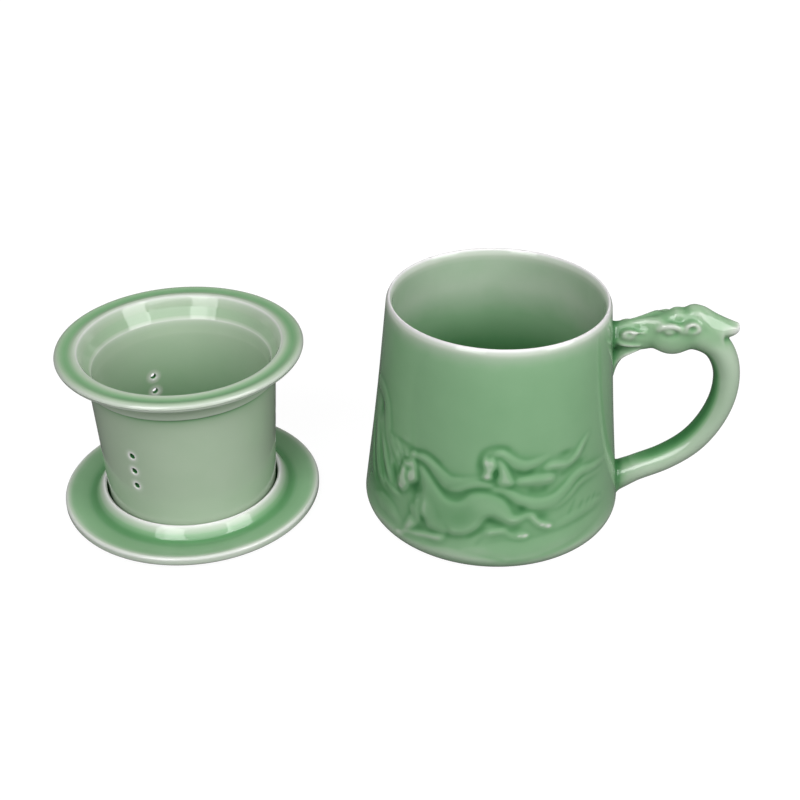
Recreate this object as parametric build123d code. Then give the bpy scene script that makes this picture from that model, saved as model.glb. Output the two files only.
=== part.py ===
from build123d import *
import os
from math import cos, exp, pi, radians, sin

# Lidded tea mug with a strainer cup (infuser). All sizes are in millimetres, +Z is up.
# The origin is the centre of the mug's foot on the table; the handle points to +X.
# The lid lies upside down beside the mug and the infuser stands in its ring.

# Mug
MUG_HEIGHT = 89.4
RIM_RADIUS, RIM_WALL = 41.0, 2.3
WAIST_RADIUS, WAIST_HEIGHT, WAIST_WALL = 44.7, 46.0, 3.4
BASE_RADIUS, BASE_CORNER, BASE_WALL = 49.0, 8.0, 4.6
FOOT_OUTER, FOOT_INNER, FOOT_HEIGHT, FOOT_BEVEL = 38.2, 34.0, 0.5, 0.6
UNDERSIDE_HEIGHT, FLOOR_HEIGHT, FLOOR_CORNER = 1.8, 5.6, 12.4

# Relief round the lower half of the mug
RELIEF_HEIGHT = 1.2
RELIEF_ROOT = 1.0           # depth to which the relief is rooted in the wall
RELIEF_RADIUS = 47.0        # radius at which distances along the wall are measured
HERD_AZIMUTHS = (-108.0, 72.0)

# Handle
LOOP_THICKNESS, LOOP_WIDTH = 9.7, 11.2
FOOT_FLARE, FLARE_REACH = 0.55, 0.09
NECK_SWELL, SWELL_REACH = 0.32, 0.16
LOOP_SECTIONS = 11
SEAM_PLACE, SEAM_SLOPE = (80.0, 69.4), 52.0
CREST_WIDTH, CREST_ROUND = 5.2, 1.0

# Infuser
INFUSER_HEIGHT = 67.5
FLANGE_RADIUS, FLANGE_EDGE = 45.7, 4.2
LIP_RADIUS, LIP_DROP, CHANNEL_DROP = 38.3, 0.6, 1.3
LEDGE_RADIUS, LEDGE_DEPTH = 33.2, 10.0
SHOULDER_RADIUS, SHOULDER_DEPTH = 36.3, 12.0
CUP_TOP_RADIUS, CUP_BASE_RADIUS = 34.9, 32.3
CUP_WALL, CUP_FLOOR, CUP_CORNER, CUP_FOOT_ROUND = 2.4, 2.6, 5.0, 1.6
CUP_FOOT_INNER, CUP_FOOT_HEIGHT = 26.5, 0.8
HOLE_RADIUS, HOLE_PITCH, HOLE_TOP, HOLE_ROWS = 1.1, 6.7, 35.6, 3
HOLE_AZIMUTHS = (2.5, 122.5, 242.5)
FLOOR_HOLE_CIRCLE, FLOOR_HOLES = 14.0, 6
DRILL_LENGTH = 14.0

# Lid, lying upside down
LID_RADIUS, LID_EDGE, LID_EDGE_TOP = 49.5, 4.0, 7.6
LID_FLAT_RADIUS, LID_FLAT_WIDTH, GRIP_RECESS, GRIP_SLOPE = 30.0, 3.0, 1.0, 3.0
GROOVE_RADIUS, GROOVE_HEIGHT = 38.75, 6.2
RING_RADIUS, RING_HEIGHT, RING_ROUND = 33.3, 11.0, 0.9
WELL_FLOOR, WELL_CORNER = 3.6, 1.0
LID_CENTRE = (-117.4, 0.0)
RESTING_GAP = 0.1           # keeps the infuser's foot just off the lid's floor

# Heights and radii that follow from them
BASE_HEIGHT = FOOT_HEIGHT + BASE_CORNER
RIM_ROUND_HEIGHT = MUG_HEIGHT - RIM_WALL / 2
CORNER_CENTRE = BASE_RADIUS - BASE_CORNER
INNER_BASE_RADIUS = BASE_RADIUS - BASE_WALL
INNER_BASE_HEIGHT = FLOOR_HEIGHT + FLOOR_CORNER

os.makedirs("parts", exist_ok=True)


def turned(*edges):
    """Solid of revolution about Z of edges drawn as (radius, height)."""
    return revolve(make_face([Plane.XZ * edge for edge in edges]), Axis.Z, 360)


def lines(*points):
    """Straight edges from each (radius, height) point to the next."""
    return [Line(points[i], points[i + 1]) for i in range(len(points) - 1)]


# ---------------------------------------------------------------- mug body

def mug_side(offset=0.0):
    """Outer side of the mug, lower corner and wall, moved outwards by offset."""
    reach = (BASE_CORNER + offset) * sin(pi / 4)
    corner = ThreePointArc((CORNER_CENTRE, FOOT_HEIGHT - offset),
                           (CORNER_CENTRE + reach, BASE_HEIGHT - reach), (BASE_RADIUS + offset, BASE_HEIGHT))
    wall = ThreePointArc((BASE_RADIUS + offset, BASE_HEIGHT), (WAIST_RADIUS + offset, WAIST_HEIGHT),
                         (RIM_RADIUS + offset, RIM_ROUND_HEIGHT))
    return [corner, wall]


def mug_wall():
    """Plain turned body with its foot ring, rounded rim and round-cornered inside."""
    rim_out, rim_in = (RIM_RADIUS, RIM_ROUND_HEIGHT), (RIM_RADIUS - RIM_WALL, RIM_ROUND_HEIGHT)
    waist_in = (WAIST_RADIUS - WAIST_WALL, WAIST_HEIGHT)
    base_in = (INNER_BASE_RADIUS, INNER_BASE_HEIGHT)
    floor_edge = (INNER_BASE_RADIUS - FLOOR_CORNER, FLOOR_HEIGHT)
    underside = lines((0, FLOOR_HEIGHT), (0, UNDERSIDE_HEIGHT),
                      (FOOT_INNER - UNDERSIDE_HEIGHT, UNDERSIDE_HEIGHT), (FOOT_INNER, 0), (FOOT_OUTER, 0),
                      (FOOT_OUTER + FOOT_BEVEL, FOOT_HEIGHT), (CORNER_CENTRE, FOOT_HEIGHT))
    rim = ThreePointArc(rim_out, (RIM_RADIUS - RIM_WALL / 2, MUG_HEIGHT), rim_in)
    inside = ThreePointArc(rim_in, waist_in, base_in)
    floor_corner = TangentArc(base_in, floor_edge, tangent=(0, -1))
    return turned(*underside, *mug_side(), rim, inside, floor_corner, *lines(floor_edge, (0, FLOOR_HEIGHT)))


def mug_envelope():
    """Mug filled solid, used to trim what is luted to the wall."""
    closing = lines((RIM_RADIUS, RIM_ROUND_HEIGHT), (0, RIM_ROUND_HEIGHT), (0, FOOT_HEIGHT),
                    (CORNER_CENTRE, FOOT_HEIGHT))
    return turned(*mug_side(), *closing)


def relief_skin():
    """Shell that the relief fills, from its root in the wall to its face."""
    face, root = mug_side(RELIEF_HEIGHT), mug_side(-RELIEF_ROOT)
    top = lines((RIM_RADIUS + RELIEF_HEIGHT, RIM_ROUND_HEIGHT), (RIM_RADIUS - RELIEF_ROOT, RIM_ROUND_HEIGHT))
    bottom = lines((CORNER_CENTRE, FOOT_HEIGHT + RELIEF_ROOT), (CORNER_CENTRE, FOOT_HEIGHT - RELIEF_HEIGHT))
    return turned(*face, *top, *root, *bottom)


def seen_flat(point):
    """Place of a (distance along the wall, height) point when the wall is looked at square on."""
    distance, height = point
    return RELIEF_RADIUS * sin(distance / RELIEF_RADIUS), height


def limb(start, end, start_radius, end_radius):
    """Tapered stroke between two (distance along the wall, height) points."""
    discs = Pos(*seen_flat(start)) * Circle(start_radius) + Pos(*seen_flat(end)) * Circle(end_radius)
    return make_hull(discs.edges())


def lock(points, radius, tip_radius):
    """Lock of a mane or tail: a chain of strokes that thins towards its last point."""
    steps = len(points) - 1
    widths = [radius + (tip_radius - radius) * i / steps for i in range(steps + 1)]
    return [limb(points[i], points[i + 1], widths[i], widths[i + 1]) for i in range(steps)]


def lead_horse():
    """Horse at full gallop: head down, fore leg folded, hind legs stretched, mane and tail flying."""
    poll, muzzle, ear_root, ear_tip = (-20.0, 38.0), (-25.4, 27.8), (-20.6, 40.0), (-20.3, 42.8)
    crest, withers, loin, croup = (-18.5, 36.0), (-12.0, 25.5), (1.0, 24.5), (10.5, 26.5)
    elbow, knee, fore_hoof = (-15.0, 19.0), (-21.2, 10.8), (-7.0, 11.6)
    far_thigh, far_hock, far_hoof = (13.0, 24.8), (24.3, 25.4), (32.0, 19.0)
    thigh, hock, hoof = (8.0, 20.5), (15.4, 19.2), (24.0, 16.2)
    trunk = [limb(crest, withers, 4.0, 7.6), limb(withers, loin, 7.6, 7.0), limb(loin, croup, 7.0, 7.4)]
    head = [limb(poll, muzzle, 3.3, 1.9), limb(ear_root, ear_tip, 1.2, 0.5)]
    legs = [limb(elbow, knee, 3.6, 1.4), limb(knee, fore_hoof, 1.4, 1.2), limb(far_thigh, far_hock, 3.4, 1.4),
            limb(far_hock, far_hoof, 1.4, 1.1), limb(thigh, hock, 3.2, 1.3), limb(hock, hoof, 1.3, 1.1)]
    mane = lock([(-19.0, 42.0), (-9.5, 39.8), (0.5, 36.5), (9.0, 39.5)], 2.2, 1.0)
    tail = lock([(12.0, 33.4), (21.0, 29.8), (32.0, 27.4), (43.0, 31.5)], 2.6, 1.0)
    return trunk + head + legs + mane + tail


def second_horse():
    """Horse behind the lead one, of which the head, neck, back and streaming mane stand clear."""
    poll, muzzle, crest, withers, croup = (10.6, 46.0), (9.4, 40.8), (13.0, 45.0), (16.5, 38.8), (33.0, 38.6)
    mane = lock([(12.6, 49.0), (21.0, 44.6), (30.0, 43.4), (42.0, 46.2)], 2.0, 0.8)
    trunk = [limb(crest, withers, 2.4, 3.4), limb(withers, croup, 3.0, 2.4)]
    return [limb(poll, muzzle, 2.4, 1.6)] + trunk + mane


def herd(azimuth):
    """Raised figures of one herd, cut through the skin along the azimuth's direction."""
    east, north = cos(radians(azimuth)), sin(radians(azimuth))
    facing = Plane(origin=(0, 0, 0), x_dir=(-north, east, 0), z_dir=(east, north, 0))
    figures = Sketch() + lead_horse() + second_horse()
    return extrude(facing * figures, amount=BASE_RADIUS + 2 * RELIEF_HEIGHT) & relief_skin()


def mug_body():
    """Mug without its handle, with a herd standing out of the wall on either side."""
    body = mug_wall()
    for azimuth in HERD_AZIMUTHS:
        body = body + herd(azimuth)
    return body


# ---------------------------------------------------------------- handle

# Middle line of the loop as (X, Z), from inside the wall at the bottom up to the neck.
LOOP_LINE = [(45.5, 8.2), (56.0, 13.6), (67.5, 19.0), (77.0, 26.4), (83.5, 36.5),
             (86.8, 48.0), (86.2, 59.5), (81.5, 68.6), (73.0, 74.0)]

# Stations of the head along X: X, middle height, half height and half width.
HEAD_STATIONS = [(40.5, 72.4, 5.2, 4.4), (45.0, 73.3, 5.4, 4.9), (50.0, 73.9, 6.1, 5.0),
                 (56.0, 74.1, 7.0, 5.3), (62.5, 74.0, 8.1, 6.6), (69.0, 74.4, 8.2, 7.0),
                 (76.0, 74.6, 7.6, 6.6), (82.5, 74.2, 5.4, 5.2)]

# Outline of the mane's crest as (X, Z).
CREST_OUTLINE = [(70.0, 78.0), (71.0, 84.0), (80.0, 82.2), (88.6, 78.6), (89.2, 76.4), (86.6, 72.4),
                 (80.0, 70.0)]

# Swellings on each side of the head: centre and half axes.
BROW = (62.5, 5.4, 80.2), (5.0, 1.9, 1.7)
EAR = (70.2, 6.2, 80.8), (3.2, 1.9, 2.4)
NOSTRIL = (47.6, 3.6, 76.6), (2.8, 1.8, 2.4)


def loop_scale(place):
    """How much thicker the loop is than its plain bar, at a place from 0 at its foot to 1 at the head."""
    flare = 1 + FOOT_FLARE * exp(-(place / FLARE_REACH) ** 2)
    swell = 1 + NECK_SWELL * exp(-((1 - place) / SWELL_REACH) ** 2)
    return flare * swell


def oval(centre, normal, width, height):
    """Upright oval face across a direction in the XZ plane."""
    return Plane(origin=centre, x_dir=(0, 1, 0), z_dir=normal) * Ellipse(width / 2, height / 2)


def handle_loop():
    """Oval bar that leaves the base of the mug and rises to become the horse's neck."""
    line = Spline([(x, 0, z) for x, z in LOOP_LINE])
    sections = []
    for i in range(LOOP_SECTIONS):
        place = i / (LOOP_SECTIONS - 1)
        size = loop_scale(place)
        sections.append(oval(line @ place, line % place, LOOP_WIDTH * size, LOOP_THICKNESS * size))
    return loft(sections)


def head_form():
    """Muzzle, cheeks and poll, lofted along X through oval stations."""
    return loft([oval((x, 0, z), (1, 0, 0), 2 * width, 2 * height) for x, z, height, width in HEAD_STATIONS])


def crest():
    """Mane swept back over the neck to a blunt tip."""
    outline = Polyline(CREST_OUTLINE, close=True)
    slab = extrude(Plane.XZ * make_face(outline), amount=CREST_WIDTH / 2, both=True)
    return fillet(slab.edges().filter_by(Axis.Y), CREST_ROUND)


def swelling(centre, half_axes, side):
    """Ellipsoid on one side of the head: the brow, ear or nostril."""
    x, y, z = centre
    return Pos(x, side * y, z) * scale(Sphere(1.0), by=half_axes)


def horse_head():
    """Horse's head that grips the mug's wall with its muzzle, from lips to mane."""
    head = head_form() + crest()
    for side in (-1, 1):
        for centre, half_axes in (BROW, EAR, NOSTRIL):
            head = head + swelling(centre, half_axes, side)
    return head


def head_space():
    """Block on the head's side of the joint between neck and head."""
    x, z = SEAM_PLACE
    slope = radians(SEAM_SLOPE)
    seam = Plane(origin=(x, 0, z), x_dir=(0, 1, 0), z_dir=(-cos(slope), 0, sin(slope)))
    return extrude(seam * Rectangle(MUG_HEIGHT, 2 * MUG_HEIGHT), amount=MUG_HEIGHT)


# ---------------------------------------------------------------- infuser

def flange():
    """Edges of the flange: shoulder, underside, rounded edge, dished top and lip, from below."""
    top, under = INFUSER_HEIGHT, INFUSER_HEIGHT - FLANGE_EDGE
    shoulder, lip = top - SHOULDER_DEPTH, top - LIP_DROP
    edge = FLANGE_RADIUS - FLANGE_EDGE / 3
    neck = Spline((CUP_TOP_RADIUS, shoulder - 2.0), (SHOULDER_RADIUS - 0.2, shoulder),
                  (SHOULDER_RADIUS + 1.3, under - 1.6), (SHOULDER_RADIUS + 3.2, under - 0.1),
                  (edge, under + 0.3), tangents=[(0.05, 1), (1, 0.12)])
    rim = ThreePointArc((edge, under + 0.3), (FLANGE_RADIUS, top - FLANGE_EDGE / 2), (edge, top))
    dish = Spline((edge, top), ((FLANGE_RADIUS + LIP_RADIUS) / 2, top - CHANNEL_DROP),
                  (LIP_RADIUS + 0.6, lip - 0.1), tangents=[(-1, 0), (-1, 0.5)])
    crown = ThreePointArc((LIP_RADIUS + 0.6, lip - 0.1), (LIP_RADIUS, lip), (LIP_RADIUS - 0.7, lip - 0.6))
    return [neck, rim, dish, crown]


def recess():
    """Edges of the recess that the lid's ring enters, from the lip down to the ledge."""
    lip, ledge = INFUSER_HEIGHT - LIP_DROP, INFUSER_HEIGHT - LEDGE_DEPTH
    bowl = Spline((LIP_RADIUS - 0.7, lip - 0.6), (LIP_RADIUS - 2.2, lip - 4.6),
                  (LEDGE_RADIUS + 1.6, ledge + 0.1), (LEDGE_RADIUS + 0.5, ledge),
                  tangents=[(-0.4, -1), (-1, 0.15)])
    nose = ThreePointArc((LEDGE_RADIUS + 0.5, ledge), (LEDGE_RADIUS, ledge - 0.4),
                         (LEDGE_RADIUS - 0.2, ledge - 1.1))
    return [bowl, nose]


def infuser_wall():
    """Turned cup on a low foot ring, with a wide flange, its foot at height 0."""
    ledge = INFUSER_HEIGHT - LEDGE_DEPTH
    inner_top, inner_base = CUP_TOP_RADIUS - CUP_WALL, CUP_BASE_RADIUS - CUP_WALL
    foot = lines((0, CUP_FLOOR), (0, CUP_FOOT_HEIGHT), (CUP_FOOT_INNER - CUP_FOOT_HEIGHT, CUP_FOOT_HEIGHT),
                 (CUP_FOOT_INNER, 0), (CUP_BASE_RADIUS - CUP_FOOT_ROUND, 0))
    foot_round = TangentArc((CUP_BASE_RADIUS - CUP_FOOT_ROUND, 0), (CUP_BASE_RADIUS, CUP_FOOT_ROUND),
                            tangent=(1, 0))
    side = lines((CUP_BASE_RADIUS, CUP_FOOT_ROUND), (CUP_TOP_RADIUS, INFUSER_HEIGHT - SHOULDER_DEPTH - 2.0))
    inside = lines((LEDGE_RADIUS - 0.2, ledge - 1.1), (inner_top, ledge - 5.0),
                   (inner_base, CUP_FLOOR + CUP_CORNER))
    corner = TangentArc((inner_base, CUP_FLOOR + CUP_CORNER), (inner_base - CUP_CORNER, CUP_FLOOR),
                        tangent=(0, -1))
    floor = lines((inner_base - CUP_CORNER, CUP_FLOOR), (0, CUP_FLOOR))
    return turned(*foot, foot_round, *side, *flange(), *recess(), *inside, corner, *floor)


def drain_holes():
    """Columns of holes through the cup's side, and a hole and a ring of holes through its floor."""
    drills = [Cylinder(HOLE_RADIUS, DRILL_LENGTH)]
    for azimuth in HOLE_AZIMUTHS:
        for row in range(HOLE_ROWS):
            place = Pos(CUP_TOP_RADIUS, 0, HOLE_TOP - row * HOLE_PITCH)
            drills.append(Rot(0, 0, azimuth) * place * Rot(0, 90, 0) * Cylinder(HOLE_RADIUS, DRILL_LENGTH))
    for i in range(FLOOR_HOLES):
        place = Rot(0, 0, 360 * i / FLOOR_HOLES) * Pos(FLOOR_HOLE_CIRCLE, 0, 0)
        drills.append(place * Cylinder(HOLE_RADIUS, DRILL_LENGTH))
    return drills


def infuser():
    """Strainer cup, standing in the ring of the upturned lid."""
    cup = infuser_wall()
    for drill in drain_holes():
        cup = cup - drill
    return Pos(*LID_CENTRE, WELL_FLOOR + RESTING_GAP) * cup


# ---------------------------------------------------------------- lid

def lid_back():
    """Edges of the side that lies on the table: shallow grip recess, flat ring and rising flange."""
    flat_start = LID_FLAT_RADIUS - LID_FLAT_WIDTH
    edge, under = LID_RADIUS - LID_EDGE * 0.4, LID_EDGE_TOP - LID_EDGE
    recess_edge = (flat_start - GRIP_SLOPE, GRIP_RECESS)
    slope = Spline(recess_edge, (flat_start, 0), tangents=[(1, 0), (1, 0)])
    flange_back = Spline((LID_FLAT_RADIUS, 0), ((LID_FLAT_RADIUS + edge) / 2, under / 2), (edge, under),
                         tangents=[(1, 0), (1, 0.25)])
    return [*lines((0, WELL_FLOOR), (0, GRIP_RECESS), recess_edge), slope,
            *lines((flat_start, 0), (LID_FLAT_RADIUS, 0)), flange_back]


def lid_face():
    """Edges of the side that faces the cup: rounded edge, dished flange, groove, ring and well."""
    edge, under = LID_RADIUS - LID_EDGE * 0.4, LID_EDGE_TOP - LID_EDGE
    crest_out, crest_in = (RING_RADIUS + RING_ROUND, RING_HEIGHT), (RING_RADIUS, RING_HEIGHT - RING_ROUND)
    well_edge = (RING_RADIUS - WELL_CORNER, WELL_FLOOR)
    rim = ThreePointArc((edge, under), (LID_RADIUS, LID_EDGE_TOP - LID_EDGE / 2), (edge, LID_EDGE_TOP))
    dish = Spline((edge, LID_EDGE_TOP), (GROOVE_RADIUS + 5, GROOVE_HEIGHT + 0.6),
                  (GROOVE_RADIUS, GROOVE_HEIGHT), (RING_RADIUS + 2.4, RING_HEIGHT - 1.4), crest_out,
                  tangents=[(-1, 0), (-1, 0.25)])
    crown = ThreePointArc(crest_out, (RING_RADIUS + 0.25, RING_HEIGHT - 0.25), crest_in)
    corner = TangentArc((RING_RADIUS, WELL_FLOOR + WELL_CORNER), well_edge, tangent=(0, -1))
    return [rim, dish, crown, *lines(crest_in, (RING_RADIUS, WELL_FLOOR + WELL_CORNER)), corner,
            *lines(well_edge, (0, WELL_FLOOR))]


def lid():
    """Flat lid lying upside down, so that it serves as the infuser's saucer."""
    return Pos(*LID_CENTRE, 0) * turned(*lid_back(), *lid_face())


# ---------------------------------------------------------------- assembly

envelope = mug_envelope()
head_side = head_space()
nodes = {
    "mug_body": mug_body(),
    "handle_loop": handle_loop() - envelope - head_side,
    "horse_head": (horse_head() & head_side) - envelope,
    "infuser": infuser(),
    "lid": lid(),
}

for name, solid in nodes.items():
    solid.label = name
    export_step(solid, f"parts/{name}.step")
    print(name, len(solid.solids()), round(solid.volume, 1), solid.bounding_box())
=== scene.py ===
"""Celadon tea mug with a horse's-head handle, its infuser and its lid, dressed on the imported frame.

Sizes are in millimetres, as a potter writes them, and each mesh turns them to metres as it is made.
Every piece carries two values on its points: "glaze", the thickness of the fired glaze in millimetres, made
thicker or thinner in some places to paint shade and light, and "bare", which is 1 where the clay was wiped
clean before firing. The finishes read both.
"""
import logging
import math
from collections.abc import Sequence
from dataclasses import dataclass
from enum import Enum
from functools import partial

import bmesh
import bpy
import numpy as np
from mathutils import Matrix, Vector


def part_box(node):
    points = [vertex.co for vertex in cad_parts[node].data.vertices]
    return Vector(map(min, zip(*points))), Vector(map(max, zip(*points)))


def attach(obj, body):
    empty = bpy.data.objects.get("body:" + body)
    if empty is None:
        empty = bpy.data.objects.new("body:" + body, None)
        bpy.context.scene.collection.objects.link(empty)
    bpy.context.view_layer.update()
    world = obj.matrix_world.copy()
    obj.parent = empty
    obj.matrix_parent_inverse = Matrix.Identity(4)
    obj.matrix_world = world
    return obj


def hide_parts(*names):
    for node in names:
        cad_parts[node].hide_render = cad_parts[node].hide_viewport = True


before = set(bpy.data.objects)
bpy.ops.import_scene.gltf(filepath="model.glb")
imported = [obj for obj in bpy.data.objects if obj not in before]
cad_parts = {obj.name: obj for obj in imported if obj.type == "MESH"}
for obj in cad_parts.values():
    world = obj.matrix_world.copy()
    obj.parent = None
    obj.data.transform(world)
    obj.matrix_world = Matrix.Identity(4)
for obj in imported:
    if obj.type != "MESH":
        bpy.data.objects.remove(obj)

import openvdb
from mathutils import Euler

LOG = logging.getLogger("tea_mug")
MM = 0.001
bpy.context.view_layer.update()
WHOLE_TURN = 2 * math.pi

Point = tuple[float, float]
Place = tuple[float, float, float]


# ---------------------------------------------------------------- shared tools

def linear(code: str) -> tuple[float, float, float, float]:
    """Turns an sRGB hex colour into linear light.

    Args:
        code: colour such as "#7FA581".
    Returns:
        Linear red, green, blue and an alpha of 1.
    """
    parts = [int(code[i:i + 2], 16) / 255 for i in (1, 3, 5)]
    red, green, blue = (c / 12.92 if c <= 0.04045 else ((c + 0.055) / 1.055) ** 2.4 for c in parts)
    return red, green, blue, 1.0


def add_node(tree: bpy.types.NodeTree, kind: str, inputs: dict | None = None, **settings) -> bpy.types.Node:
    """Adds a node with its settings, values and links.

    Args:
        tree: tree that receives the node.
        kind: the node type's identifier.
        inputs: for each input's name or index, a socket or a list of sockets to link, or a value to set.
        **settings: the node's own properties.
    Returns:
        The new node.
    """
    node = tree.nodes.new(kind)
    for name, value in settings.items():
        setattr(node, name, value)
    for key, given in (inputs or {}).items():
        for value in given if isinstance(given, list) else [given]:
            if isinstance(value, bpy.types.NodeSocket):
                tree.links.new(value, node.inputs[key])
            else:
                node.inputs[key].default_value = value
    return node


def blurred(values: np.ndarray, reach: float) -> np.ndarray:
    """Gaussian blur of a grid along each of its axes.

    Args:
        values: the grid.
        reach: standard deviation in cells.
    Returns:
        The blurred grid.
    """
    count = max(1, math.ceil(3 * reach))
    weights = np.exp(-0.5 * (np.arange(-count, count + 1) / reach) ** 2)
    weights = (weights / weights.sum()).astype(values.dtype)
    for axis, size in enumerate(values.shape):
        margins = [(count, count) if a == axis else (0, 0) for a in range(values.ndim)]
        padded = np.pad(values, margins, mode="edge")
        ahead = (slice(None),) * axis
        values = sum(w * padded[(*ahead, slice(i, i + size))] for i, w in enumerate(weights))
    return values


def sampled(grid: np.ndarray, places: np.ndarray) -> np.ndarray:
    """Reads a grid between its cells by linear interpolation.

    Args:
        grid: values in two or three axes.
        places: one row per reading, in cells along each axis.
    Returns:
        One value per row.
    """
    limits = np.array(grid.shape) - 1.001
    places = np.clip(places, 0, limits)
    low = places.astype(int)
    part = places - low
    total = np.zeros(len(places))
    for corner in np.ndindex(*(2,) * grid.ndim):
        weight = np.prod(np.where(corner, part, 1 - part), axis=1)
        total += weight * grid[tuple((low + corner).T)]
    return total


def smooth_path(points: Sequence[Point] | Sequence[Place], closed: bool = False,
                steps: int = 8) -> np.ndarray:
    """Draws a smooth line through given points.

    Args:
        points: the points, in two or three axes.
        closed: whether the line returns to its first point.
        steps: stretches between one point and the next.
    Returns:
        The line's points, the first repeated at the end of a closed one.
    """
    given = np.array(points, float)
    if closed:
        ends = np.vstack([given[-1:], given, given[:2]])
    else:
        ends = np.vstack([2 * given[0] - given[1], given, 2 * given[-1] - given[-2]])
    t = np.arange(steps)[:, None] / steps
    runs = [0.5 * (2 * b + (c - a) * t + (2 * a - 5 * b + 4 * c - d) * t ** 2
                   + (3 * b - a - 3 * c + d) * t ** 3)
            for a, b, c, d in zip(ends, ends[1:], ends[2:], ends[3:])]
    return np.vstack([*runs, given[:1] if closed else given[-1:]])


def quarter_round(depth: np.ndarray) -> np.ndarray:
    """Height of a rounded edge: 0 at its foot and 1 where depth reaches 1."""
    return np.sqrt(1 - (1 - np.clip(depth, 0, 1)) ** 2)


def smooth_step(values: np.ndarray) -> np.ndarray:
    """Eases from 0 to 1 as values go from 0 to 1."""
    t = np.clip(values, 0, 1)
    return t * t * (3 - 2 * t)


def smooth_min(a: np.ndarray, b: np.ndarray, blend: float) -> np.ndarray:
    """Lower of two distances, rounded over where they differ by less than blend."""
    t = np.clip(0.5 + 0.5 * (b - a) / blend, 0, 1)
    return b + (a - b) * t - blend * t * (1 - t)


def make_piece(name: str, points: np.ndarray, faces: Sequence,
               values: dict[str, np.ndarray]) -> bpy.types.Object:
    """Makes a mesh object from millimetres, with its values on its points.

    Args:
        name: the piece's name.
        points: one row of x, y, z per point, in millimetres.
        faces: the point numbers of each face or, for bare outlines, of each edge.
        values: for each attribute's name, one number per point.
    Returns:
        The new object, at the origin and linked to the scene.
    """
    mesh = bpy.data.meshes.new(name)
    edges, faces = (faces, []) if len(faces[0]) == 2 else ([], faces)
    mesh.from_pydata((points * MM).tolist(), edges, faces)
    for key, numbers in values.items():
        mesh.attributes.new(key, "FLOAT", "POINT").data.foreach_set("value", numbers.astype(np.float32))
    mesh.shade_smooth()
    piece = bpy.data.objects.new(name, mesh)
    bpy.context.scene.collection.objects.link(piece)
    return piece


# ---------------------------------------------------------------- finishes

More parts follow.
